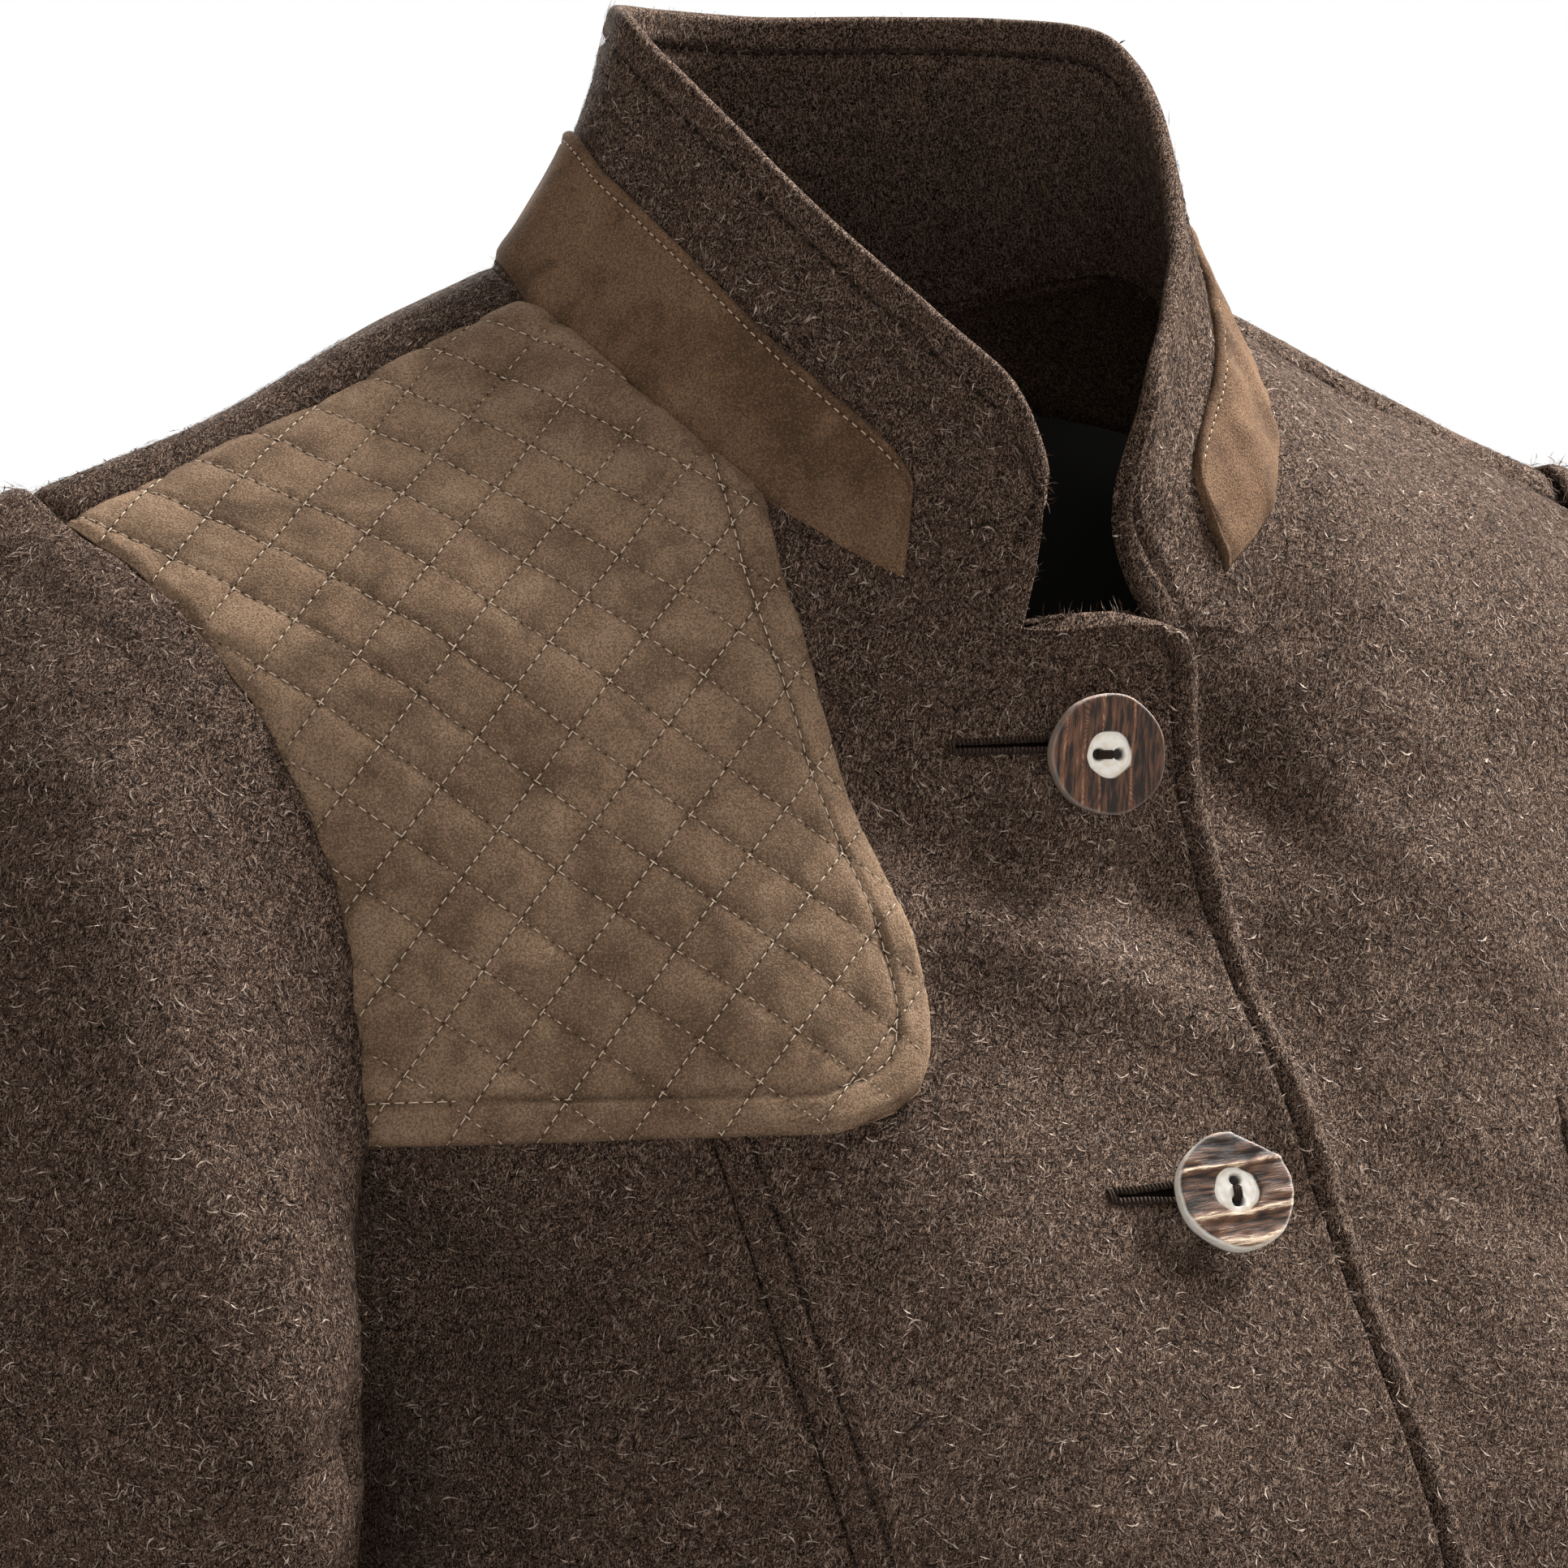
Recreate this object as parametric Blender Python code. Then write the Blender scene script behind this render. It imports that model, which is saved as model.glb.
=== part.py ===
"""A women's loden jacket in the Tyrolean style, filled out as worn, with nothing inside.

Tables and sizes are in millimetres and become metres in add_object. +Z is up, the front faces -Y and
the wearer's right is -X. The origin is the middle of the neck, level with the shoulder neck points.
"out" is a distance from the centre plane, so one table serves both halves: x = side * out.
"""

import math
from collections import namedtuple

import bmesh
import bpy
import numpy as np
from mathutils import Matrix, Vector

MM = 0.001
RIGHT, LEFT = -1, 1

# Cloth
SEAM_GAP = 0.3
PRINCESS_GAP = 0.5
WOOL_THICKNESS = 2.8
COLLAR_THICKNESS = 3.6
SUEDE_THICKNESS = 1.1
PATCH_THICKNESS = 2.2
LINING_THICKNESS = 1.0
LINING_BELOW_NECK = 0.15
LAID_ON_GAP = 0.6
LAID_ROUND_GAP = 0.9
SUEDE_LIFT = 1.15

# Front opening, right over left
UNDERLAP_STEP = 4.4
UNDERLAP_STEP_AT_NECK = 8.0
UNDERLAP_TUCK = 4.5
STEP_FULL_OUT, STEP_GONE_OUT = 30.0, 85.0
NECK_EDGE_HEIGHT, STEP_SETTLED_HEIGHT = -66.0, -130.0

# A row is one cross-cut of the front: from the front edge, over the bust, to the side seam or armhole.
# A turn is the way the cloth runs there, in degrees from straight outwards towards the back.
FrontRow = namedtuple(
    "FrontRow",
    "edge_out edge_y edge_z edge_turn mid_out mid_y mid_z mid_turn side_out side_y side_z side_turn",
)
FRONT_ROWS = [
    FrontRow(-25, -157, -610, 2, 118, -128, -610, 33, 186, 0, -610, 90),
    FrontRow(-26, -151, -550, 2, 110, -125, -550, 33, 173, 0, -550, 90),
    FrontRow(-27, -143, -480, 2, 100, -119, -480, 33, 157.5, 1, -480, 90),
    FrontRow(-27, -141, -410, 2, 92, -117, -410, 33, 149, 2, -410, 90),
    FrontRow(-27, -163, -340, 2, 98, -139, -340, 35, 155, 4, -340, 90),
    FrontRow(-27, -170, -290, 2, 100, -147, -290, 35, 163, 5, -290, 90),
    FrontRow(-26, -161, -250, 2, 100, -138, -250, 33, 166.5, 5, -250, 90),
    FrontRow(-26, -143, -216, 2, 101, -121, -216, 30, 167, 5, -216, 90),
    FrontRow(-26, -130.5, -197, 2, 101.5, -109, -197, 28, 166, -22, -211, 76),
    FrontRow(-25.5, -118, -178, 2, 102, -98.5, -178, 26, 164, -46, -196, 55),
    FrontRow(-25, -106.5, -159, 2, 104, -90, -160, 25, 163, -59, -161, 38),
    FrontRow(-24.5, -94, -140, 2, 106, -82, -141, 24, 162, -55, -141, 33),
    FrontRow(-24, -84, -121, 2, 107, -73, -121, 23, 162.5, -49.5, -122, 30),
    FrontRow(-23.5, -76, -102, 2, 109, -63.5, -103, 21, 165, -43, -105, 28),
    FrontRow(-23.5, -73, -86, 2, 112, -57.5, -89, 20, 168.5, -37, -91, 26),
    FrontRow(-23, -73, -72.5, 2, 114, -53.5, -79, 19, 171.5, -31.5, -80, 25),
    FrontRow(-14, -73.5, -66, 3, 115.5, -50.5, -74, 19, 173, -28, -74, 24),
    FrontRow(19, -72, -66, 9, 117.5, -46.5, -68, 18, 175, -22, -67, 23),
    FrontRow(42, -62, -55, 15, 121, -38, -58, 17, 178, -11, -59, 21),
    FrontRow(63, -46, -40, 14, 126, -24, -46.5, 14, 181, 0, -53, 17),
    FrontRow(75, -20, -20, 9, 130, -6, -35, 8, 183.5, 8, -49, 10),
    FrontRow(80, 12, -2, 2, 132.5, 13.5, -24, 2, 185, 15, -46, 2),
]
WAIST_ROW, UNDERARM_ROW, FRONT_SHOULDER = 3, 7, 21

# The back runs from the centre back seam, then the neck, to the side seam, then the armhole.
BackRow = namedtuple("BackRow", "centre_out centre_y centre_z centre_turn side_out side_y side_z side_turn")
BACK_ROWS = [
    BackRow(0, 118, -610, 0, 186, 0, -610, -90),
    BackRow(0, 116, -550, 0, 173, 0, -550, -90),
    BackRow(0, 98, -480, 0, 157.5, 1, -480, -90),
    BackRow(0, 79, -410, 0, 149, 2, -410, -90),
    BackRow(0, 86, -340, 0, 155, 4, -340, -90),
    BackRow(0, 96, -290, 0, 163, 5, -290, -90),
    BackRow(0, 102, -250, 0, 166.5, 5, -250, -90),
    BackRow(0, 106, -216, 0, 167, 5, -216, -90),
    BackRow(0, 108.5, -195, 0, 166.5, 25, -212, -78),
    BackRow(0, 110, -172, 0, 164, 44, -194, -64),
    BackRow(0, 111, -147, 0, 162.5, 58, -168, -50),
    BackRow(0, 110.5, -122, 0, 163, 64, -141, -42),
    BackRow(0, 108, -97, 0, 165.5, 65, -114, -37),
    BackRow(0, 103, -72, 0, 170, 60, -88, -33),
    BackRow(0, 95.5, -46, 0, 176, 51, -66, -28),
    BackRow(0, 84.5, -22, 0, 181, 42, -52, -22),
    BackRow(0, 74, -7, 0, 184.5, 34, -43.5, -16),
    BackRow(35, 68.5, -5, -10, 186, 29.5, -40.5, -12),
    BackRow(60, 52, 1.2, -12, 187, 25.5, -39.5, -8),
    BackRow(75.5, 29, 6, -4, 186.7, 20.5, -41, -2),
    BackRow(80, 12, -2, 2, 185, 15, -46, 2),
]
BACK_NECK, BACK_SHOULDER = 16, 20
FULLNESS = 1.12
FRONT_COLUMNS, SIDE_COLUMNS, BACK_COLUMNS = 6, 4, 7

# The princess seam: the share of the row, from edge to side, where it lies. It ends in the armhole.
SeamPoint = namedtuple("SeamPoint", "row share")
PRINCESS_SEAM = [
    SeamPoint(0, 0.5),
    SeamPoint(10, 0.5),
    SeamPoint(10.5, 0.58),
    SeamPoint(11, 0.7),
    SeamPoint(11.5, 0.85),
    SeamPoint(11.95, 0.985),
]

# The quilted shoulder patch covers the right front outside this line.
PatchPoint = namedtuple("PatchPoint", "row out")
PATCH_EDGE = [
    PatchPoint(9.98, 82),
    PatchPoint(10.12, 71),
    PatchPoint(10.35, 63.5),
    PatchPoint(10.7, 58.5),
    PatchPoint(11.2, 55.5),
    PatchPoint(12, 56),
    PatchPoint(13, 59),
    PatchPoint(15, 63),
    PatchPoint(16, 64),
    PatchPoint(17, 64.5),
    PatchPoint(18, 65),
    PatchPoint(19, 63.8),
]

# Collar columns go from the centre back to the front end. The base is the neck seam at that column.
CollarColumn = namedtuple("CollarColumn", "top_out top_y top_z suede_share")
COLLAR_COLUMNS = [
    CollarColumn(0, 50, 56, 0.5),
    CollarColumn(27, 45, 57, 0.5),
    CollarColumn(46.5, 33, 57.5, 0.5),
    CollarColumn(56.5, 16, 56, 0.5),
    CollarColumn(59.5, 2, 49.5, 0.5),
    CollarColumn(56.5, -18, 36, 0.49),
    CollarColumn(47.5, -41, 16, 0.47),
    CollarColumn(35, -62, -4, 0.44),
    CollarColumn(24.5, -72.5, -17, 0.42),
    CollarColumn(17.5, -76.5, -30, 0.4),
]
COLLAR_END_ROWS = [(8, 17.3), (9, 17.0)]
COLLAR_HOLLOW = 3.4
COLLAR_END_BOW = 3.0
COLLAR_BASE_GAP = 0.8
LEFT_COLLAR_LEAN = 0.75
LEFT_COLLAR_SPREAD = 3.0
LEFT_COLLAR_DROP = 2.0
SUEDE_END_COLUMN = 7.05

# Sleeve rings go down the arm. A ring's swing turns its front towards the body.
SleeveRing = namedtuple("SleeveRing", "z out y half_out half_depth swing tilt")
SLEEVE_RINGS = [
    SleeveRing(-232, 217, -34, 46, 72, 12, 0),
    SleeveRing(-300, 221, -31, 45, 69, 12, 0.02),
    SleeveRing(-380, 227, -30, 43, 64, 10, 0.06),
    SleeveRing(-460, 233, -38, 40, 57, 10, 0.13),
    SleeveRing(-540, 239, -54, 36, 51, 10, 0.2),
    SleeveRing(-615, 244, -72, 33, 47, 10, 0.24),
]
# How the sleeve leaves the armhole, round from the underarm by the front, the top and the back.
SleeveHead = namedtuple("SleeveHead", "around out y z pull drop")
SLEEVE_HEAD = [
    SleeveHead(0, 0.30, -0.05, -0.95, 12, 18),
    SleeveHead(45, 0.25, -0.35, -0.90, 30, 55),
    SleeveHead(90, 0.78, -0.32, -0.54, 80, 130),
    SleeveHead(135, 0.94, -0.14, -0.25, 120, 230),
    SleeveHead(180, 0.99, 0.00, -0.12, 125, 290),
    SleeveHead(225, 0.96, 0.10, -0.23, 110, 230),
    SleeveHead(270, 0.90, 0.18, -0.38, 70, 130),
    SleeveHead(315, 0.52, 0.16, -0.84, 30, 60),
    SleeveHead(360, 0.30, -0.05, -0.95, 12, 18),
]
UNDER_SLEEVE_SPAN = 62.0
SLEEVE_CLEARANCE = 0.4

# Buttons of stag horn
Button = namedtuple("Button", "z yaw nod")
BUTTONS = [
    Button(-91, -15, 2),
    Button(-175.5, -14, 22),
    Button(-263, -8, 8),
    Button(-357, -6, -12),
    Button(-451, -8, 0),
]
BUTTON_OUT = 3.0
BUTTON_RADIUS = 12.0
BUTTON_THICKNESS = 4.0
BUTTON_EDGE_ROUND = 0.8
BUTTON_GAP = 0.5
PITH_RADIUS, PITH_DEPTH = 4.5, 0.7
THREAD_HOLE_RADIUS, THREAD_HOLE_SPACING = 0.9, 4.2

# Jetted chest pocket on the left front
Welt = namedtuple("Welt", "name lower upper")
WELTS = [Welt("chest_pocket_upper_welt", 0.6, 6.6), Welt("chest_pocket_lower_welt", -6.6, -0.6)]
POCKET_SHARES = (0.47, 0.78)
POCKET_HEIGHTS = (-173.0, -191.0)
WELT_THICKNESS = 1.8

COLOURS = {
    "loden": (0.060, 0.042, 0.030, 1.0),
    "suede": (0.100, 0.058, 0.034, 1.0),
    "quilted_suede": (0.180, 0.130, 0.092, 1.0),
    "lining": (0.012, 0.012, 0.012, 1.0),
    "horn": (0.300, 0.180, 0.110, 1.0),
}
ROUGHNESS = {"loden": 0.95, "suede": 0.9, "quilted_suede": 0.9, "lining": 0.5, "horn": 0.4}


# ---------------------------------------------------------------- curves


def smooth_step(value):
    value = min(max(value, 0.0), 1.0)
    return value * value * (3 - 2 * value)


def hermite(start, start_pull, end, end_pull, share):
    square, cube = share * share, share**3
    return (
        (2 * cube - 3 * square + 1) * start
        + (cube - 2 * square + share) * start_pull
        + (3 * square - 2 * cube) * end
        + (cube - square) * end_pull
    )


def table_row(table, position, mirrored=()):
    """The table's columns at a place between its rows, on a smooth curve through them.

    The mirrored columns change sign across the first row, so the curve crosses the centre plane level.
    """
    rows = np.array(table, float)
    last = len(rows) - 1
    position = min(max(position, 0.0), float(last))
    below = min(int(position), last - 1)
    before, after = max(below - 1, 0), min(below + 2, last)
    start_pull = (rows[below + 1] - rows[before]) / (below + 1 - before)
    if mirrored and below == 0:
        reflected = rows[1].copy()
        reflected[list(mirrored)] *= -1
        start_pull = (rows[1] - reflected) / 2
    end_pull = (rows[after] - rows[below]) / (after - below)
    return hermite(rows[below], start_pull, rows[below + 1], end_pull, position - below)


def body_row(table, position):
    """A row of the body, whose outer edge turns a corner at the underarm."""
    row = table_row(table, position)
    outer = table[0]._fields.index("side_out")
    if position <= UNDERARM_ROW:
        part = table_row(table[: UNDERARM_ROW + 1], position)
    else:
        part = table_row(table[UNDERARM_ROW:], position - UNDERARM_ROW)
    row[outer:] = part[outer:]
    return row


def cross_cut(start, start_turn, end, end_turn, share, start_rise=None, end_rise=None):
    """A point of the curve from start to end that leaves and arrives at the given turns."""
    reach = math.hypot(end[0] - start[0], end[1] - start[1]) * FULLNESS
    rise = end[2] - start[2]
    pulls = []
    for turn, own_rise in ((start_turn, start_rise), (end_turn, end_rise)):
        angle = math.radians(turn)
        height = rise if own_rise is None else own_rise
        pulls.append(np.array([reach * math.cos(angle), reach * math.sin(angle), height]))
    return hermite(start, pulls[0], end, pulls[1], share)


# ---------------------------------------------------------------- surfaces of the cloth


def underlap_step(side, out, z):
    """How far the left front lies behind the right one, where it passes under it."""
    if side == RIGHT:
        return 0.0
    settled = smooth_step((NECK_EDGE_HEIGHT - z) / (NECK_EDGE_HEIGHT - STEP_SETTLED_HEIGHT))
    depth = UNDERLAP_STEP_AT_NECK + (UNDERLAP_STEP - UNDERLAP_STEP_AT_NECK) * settled
    depth += UNDERLAP_TUCK * max(0.0, -out) / STEP_FULL_OUT
    return depth * (1 - smooth_step((out - STEP_FULL_OUT) / (STEP_GONE_OUT - STEP_FULL_OUT)))


def front_point(side, row, share):
    cut = FrontRow(*body_row(FRONT_ROWS, row))
    edge = np.array(cut[0:3])
    middle = np.array(cut[4:7])
    outer = np.array(cut[8:11])
    rise = (outer[2] - edge[2]) / 2
    if share <= 0.5:
        point = cross_cut(edge, cut.edge_turn, middle, cut.mid_turn, share * 2, None, rise)
    else:
        point = cross_cut(middle, cut.mid_turn, outer, cut.side_turn, share * 2 - 1, rise, None)
    point[1] += underlap_step(side, point[0], point[2])
    return np.array([side * point[0], point[1], point[2]])


def back_point(side, row, share):
    columns = body_row(BACK_ROWS, row)
    if row > BACK_NECK:
        columns[:4] = table_row(BACK_ROWS[BACK_NECK:], row - BACK_NECK, mirrored=(0, 3))[:4]
    else:
        columns[:4] = table_row(BACK_ROWS[: BACK_NECK + 1], row)[:4]
    cut = BackRow(*columns)
    point = cross_cut(np.array(cut[0:3]), cut.centre_turn, np.array(cut[4:7]), cut.side_turn, share)
    return np.array([side * point[0], point[1], point[2]])


def neck_point(side, column):
    """The neck seam at a collar column: 0 at the centre back, then round to the front end."""
    if column <= 4:
        return back_point(side, BACK_NECK + column, 0.0)
    if column <= 7:
        return front_point(side, FRONT_SHOULDER - (column - 4), 0.0)
    start, end = (7, 18.0), COLLAR_END_ROWS[0]
    if column > COLLAR_END_ROWS[0][0]:
        start, end = COLLAR_END_ROWS
    share = (column - start[0]) / (end[0] - start[0])
    return front_point(side, start[1] + (end[1] - start[1]) * share, 0.0)


def collar_point(side, column, share):
    """The collar's outer face, from the neck seam (0) to the top edge (1)."""
    base = neck_point(side, column)
    top = table_row(COLLAR_COLUMNS, column, mirrored=(0,))[:3]
    lean = (1 + LEFT_COLLAR_LEAN) * smooth_step((column - 3) / 2.5)
    top = np.array([side * top[0], top[1] + lean * underlap_step(side, top[0], base[2]), top[2]])
    if side == LEFT:
        spread = smooth_step(column / 3) * smooth_step((8 - column) / 3)
        top += np.array([LEFT_COLLAR_SPREAD, 0.0, -LEFT_COLLAR_DROP]) * spread
    point = base + (top - base) * share
    inward = -np.array([point[0], point[1], 0.0]) / math.hypot(point[0], point[1])
    point = point + inward * COLLAR_HOLLOW * 4 * share * (1 - share)
    last = len(COLLAR_COLUMNS) - 1
    near_end = smooth_step(column - (last - 1))
    point[0] -= side * COLLAR_END_BOW * near_end * math.sin(math.pi * share)
    return point


def armhole_polyline(side):
    """The armhole from the underarm by the front to the shoulder, and by the back down again."""
    steps = 60
    front = [
        front_point(side, UNDERARM_ROW + (FRONT_SHOULDER - UNDERARM_ROW) * k / steps, 1.0)
        for k in range(steps + 1)
    ]
    back = [
        back_point(side, BACK_SHOULDER + (UNDERARM_ROW - BACK_SHOULDER) * k / steps, 1.0)
        for k in range(steps + 1)
    ]
    return np.array(front), np.array(back)


ARMHOLES = {}


def armhole_point(side, around):
    """The armhole seam at an angle: 0 underarm, 90 front, 180 shoulder, 270 back."""
    if side not in ARMHOLES:
        ARMHOLES[side] = armhole_polyline(side)
    half = ARMHOLES[side][0 if around <= 180 else 1]
    share = around / 180 if around <= 180 else (around - 180) / 180
    lengths = np.concatenate([[0], np.cumsum(np.linalg.norm(np.diff(half, axis=0), axis=1))])
    place = share * lengths[-1]
    return np.array([np.interp(place, lengths, half[:, axis]) for axis in range(3)])


def sleeve_ring_point(side, ring, around):
    cut = SleeveRing(*table_row(SLEEVE_RINGS, ring))
    angle, swing = math.radians(around), math.radians(cut.swing)
    outward = np.array([math.cos(swing), -math.sin(swing)])
    forward = np.array([-math.sin(swing), -math.cos(swing)])
    plan = -math.cos(angle) * cut.half_out * outward + math.sin(angle) * cut.half_depth * forward
    height = cut.z - cut.tilt * plan[1]
    return np.array([side * (cut.out + plan[0]), cut.y + plan[1], height])


def sleeve_point(side, down, around):
    """The sleeve's outer face. Down 0 is the armhole, 1 the first ring, and 6 the cuff."""
    around = around % 360
    if down >= 1:
        return sleeve_ring_point(side, down - 1, around)
    head = SleeveHead(*table_row(SLEEVE_HEAD, around / 45))
    leaving = np.array([side * head.out, head.y, head.z])
    leaving /= np.linalg.norm(leaving)
    start = armhole_point(side, around) + leaving * SEAM_GAP
    start[0] += side * SLEEVE_CLEARANCE
    end = sleeve_ring_point(side, 0, around)
    onward = sleeve_ring_point(side, 0.05, around) - end
    onward /= np.linalg.norm(onward)
    return hermite(start, leaving * head.pull, end, onward * head.drop, down)


def surface_grid(surface, rows, columns_of):
    """Points and outward normals of a surface, a row at a time. columns_of(row) lists its columns."""
    step = 1e-3
    points, normals = [], []
    for row in rows:
        point_row, normal_row = [], []
        for column in columns_of(row):
            along = surface(row, column + step) - surface(row, column - step)
            up = surface(row + step, column) - surface(row - step, column)
            normal = np.cross(along, up)
            normal_row.append(normal / max(np.linalg.norm(normal), 1e-12))
            point_row.append(surface(row, column))
        points.append(point_row)
        normals.append(normal_row)
    return np.array(points), np.array(normals)


def facing_away(points, normals, centre):
    """The normals, turned so that on the whole they face away from the centre."""
    outward = points - np.array(centre)
    if (outward * normals).sum() < 0:
        return -normals
    return normals


def pulled_in(points, first_row=0.0, last_row=0.0, first_column=0.0, last_column=0.0):
    """The grid with its edges moved back from a seam by the given distances."""
    moved = points.copy()
    for amount, edge, inside in ((first_row, 0, 1), (last_row, -1, -2)):
        way = points[inside] - points[edge]
        moved[edge] += amount * way / np.linalg.norm(way, axis=-1, keepdims=True)
    points = moved.copy()
    for amount, edge, inside in ((first_column, 0, 1), (last_column, -1, -2)):
        way = points[:, inside] - points[:, edge]
        moved[:, edge] += amount * way / np.linalg.norm(way, axis=-1, keepdims=True)
    return moved


def between(start, end, count):
    return [start + (end - start) * k / count for k in range(count + 1)]


# ---------------------------------------------------------------- objects


def material(name):
    found = bpy.data.materials.get(name)
    if found:
        return found
    made = bpy.data.materials.new(name)
    made.use_nodes = True
    shader = made.node_tree.nodes["Principled BSDF"]
    shader.inputs["Base Color"].default_value = COLOURS[name]
    shader.inputs["Roughness"].default_value = ROUGHNESS[name]
    shader.inputs["Metallic"].default_value = 0.0
    made.diffuse_color = COLOURS[name]
    return made


def add_object(name, shape, material_name):
    """Turns a bmesh in millimetres into an object in metres."""
    bmesh.ops.scale(shape, vec=(MM, MM, MM), verts=shape.verts)
    bmesh.ops.recalc_face_normals(shape, faces=shape.faces)
    mesh = bpy.data.meshes.new(name)
    shape.to_mesh(mesh)
    shape.free()
    mesh.shade_smooth()
    mesh.set_sharp_from_angle(angle=math.radians(40))
    mesh.materials.append(material(material_name))
    made = bpy.data.objects.new(name, mesh)
    bpy.context.collection.objects.link(made)
    return made


def add_wall(name, points, normals, thickness, material_name, lift=0.0):
    """A closed wall of cloth whose outer face is the grid, lifted off it along the normals."""
    shape = bmesh.new()
    outer = [[shape.verts.new(p) for p in row] for row in points + normals * lift]
    inner = [[shape.verts.new(p) for p in row] for row in points + normals * (lift - thickness)]
    row_count, column_count = len(outer), len(outer[0])
    for i in range(row_count - 1):
        for j in range(column_count - 1):
            for corners in (((i, j), (i, j + 1), (i + 1, j + 1)), ((i, j), (i + 1, j + 1), (i + 1, j))):
                shape.faces.new([outer[a][b] for a, b in corners])
                shape.faces.new([inner[a][b] for a, b in reversed(corners)])
    rim = [(0, j) for j in range(column_count)]
    rim += [(i, column_count - 1) for i in range(1, row_count)]
    rim += [(row_count - 1, j) for j in range(column_count - 2, -1, -1)]
    rim += [(i, 0) for i in range(row_count - 2, 0, -1)]
    for k, (a, b) in enumerate(rim):
        c, d = rim[(k + 1) % len(rim)]
        shape.faces.new([outer[c][d], outer[a][b], inner[a][b], inner[c][d]])
    return add_object(name, shape, material_name)


def body_rows(shoulder_row):
    """Rows every 30 mm or so down the body, at each table row above the underarm, and closer at the neck."""
    rows = between(0, UNDERARM_ROW, 2 * UNDERARM_ROW)
    rows += [float(row) for row in range(UNDERARM_ROW + 1, shoulder_row - 4)]
    return rows + between(shoulder_row - 4, shoulder_row, 8)


def princess_share(row):
    if row > PRINCESS_SEAM[-1].row:
        return 1.0
    return float(np.interp(row, [p.row for p in PRINCESS_SEAM], [p.share for p in PRINCESS_SEAM]))


def seam_mean(side, front_places, back_places):
    """Points and normals of a seam between front and back: the mean of both, so the walls stay parallel."""
    total_points, total_normals = 0, 0
    for surface, places in ((front_point, front_places), (back_point, back_places)):
        cells = [
            surface_grid(lambda r, c: surface(side, r, c), [row], lambda _: [share])
            for row, share in places
        ]
        points = np.array([cell[0][0, 0] for cell in cells])
        normals = np.array([cell[1][0, 0] for cell in cells])
        total_points = total_points + points / 2
        total_normals = total_normals + facing_away(points, normals, (0, 0, -300))
    return total_points, total_normals / np.linalg.norm(total_normals, axis=-1, keepdims=True)


def shoulder_seam(side, shares):
    return seam_mean(
        side,
        [(FRONT_SHOULDER - 0.01, share) for share in shares],
        [(BACK_SHOULDER - 0.01, share) for share in shares],
    )


def side_seam(side, rows):
    places = [(min(row, UNDERARM_ROW - 0.01), 0.999) for row in rows if row <= UNDERARM_ROW]
    return seam_mean(side, places, places)


def join_side_seam(side, rows, points, normals):
    """Gives the last column the shared points and normals of the side seam, up to the underarm."""
    count = sum(row <= UNDERARM_ROW for row in rows)
    points[:count, -1], normals[:count, -1] = side_seam(side, rows)


def front_grid(side, rows, shares_of):
    points, normals = surface_grid(lambda row, share: front_point(side, row, share), rows, shares_of)
    return points, facing_away(points, normals, (0, 0, -300))


def add_front(side, name, side_name):
    rows = body_rows(FRONT_SHOULDER)
    top_of_side = rows.index(12.0)
    rows[top_of_side - 1 : top_of_side] = [10.5, 11.0, 11.5, PRINCESS_SEAM[-1].row]
    points, normals = front_grid(side, rows, lambda row: between(0.0, princess_share(row), FRONT_COLUMNS))
    points[-1], normals[-1] = shoulder_seam(side, between(0.0, 1.0, FRONT_COLUMNS))
    points = pulled_in(points, last_row=SEAM_GAP / 2, last_column=PRINCESS_GAP / 2)
    add_wall(name, points, normals, WOOL_THICKNESS, "loden")

    rows = [row for row in rows if row <= PRINCESS_SEAM[-1].row]
    points, normals = front_grid(side, rows, lambda row: between(princess_share(row), 1.0, SIDE_COLUMNS))
    join_side_seam(side, rows, points, normals)
    points = pulled_in(points, first_column=PRINCESS_GAP / 2, last_column=SEAM_GAP / 2)
    add_wall(side_name, points, normals, WOOL_THICKNESS, "loden")


def back_grid(side, rows, shares):
    points, normals = surface_grid(
        lambda row, share: back_point(side, row, share), rows, lambda row: shares
    )
    normals = facing_away(points, normals, (0, 0, -300))
    centre = sum(row <= BACK_NECK for row in rows)
    normals[:centre, 0, 0] = 0
    normals[:centre, 0] /= np.linalg.norm(normals[:centre, 0], axis=-1, keepdims=True)
    return points, normals


def add_back(side, name):
    rows, shares = body_rows(BACK_SHOULDER), between(0.0, 1.0, BACK_COLUMNS)
    points, normals = back_grid(side, rows, shares)
    join_side_seam(side, rows, points, normals)
    points[-1], normals[-1] = shoulder_seam(side, shares)
    points = pulled_in(
        points, last_row=SEAM_GAP / 2, first_column=SEAM_GAP / 2, last_column=SEAM_GAP / 2
    )
    add_wall(name, points, normals, WOOL_THICKNESS, "loden")


def add_back_lining():
    """A half lining: inside the back from the neck to the waist, one column short of its side seams."""
    rows = [row for row in body_rows(BACK_SHOULDER) if WAIST_ROW <= row < BACK_NECK]
    rows.append(BACK_NECK - LINING_BELOW_NECK)
    shares = between(0.0, 1.0, BACK_COLUMNS)[:-1]
    halves = [back_grid(side, rows, shares) for side in (RIGHT, LEFT)]
    points = np.concatenate([halves[0][0][:, :0:-1], halves[1][0]], axis=1)
    normals = np.concatenate([halves[0][1][:, :0:-1], halves[1][1]], axis=1)
    depth = WOOL_THICKNESS + LAID_ROUND_GAP
    add_wall("back_lining", points, normals, LINING_THICKNESS, "lining", lift=-depth)


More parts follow.
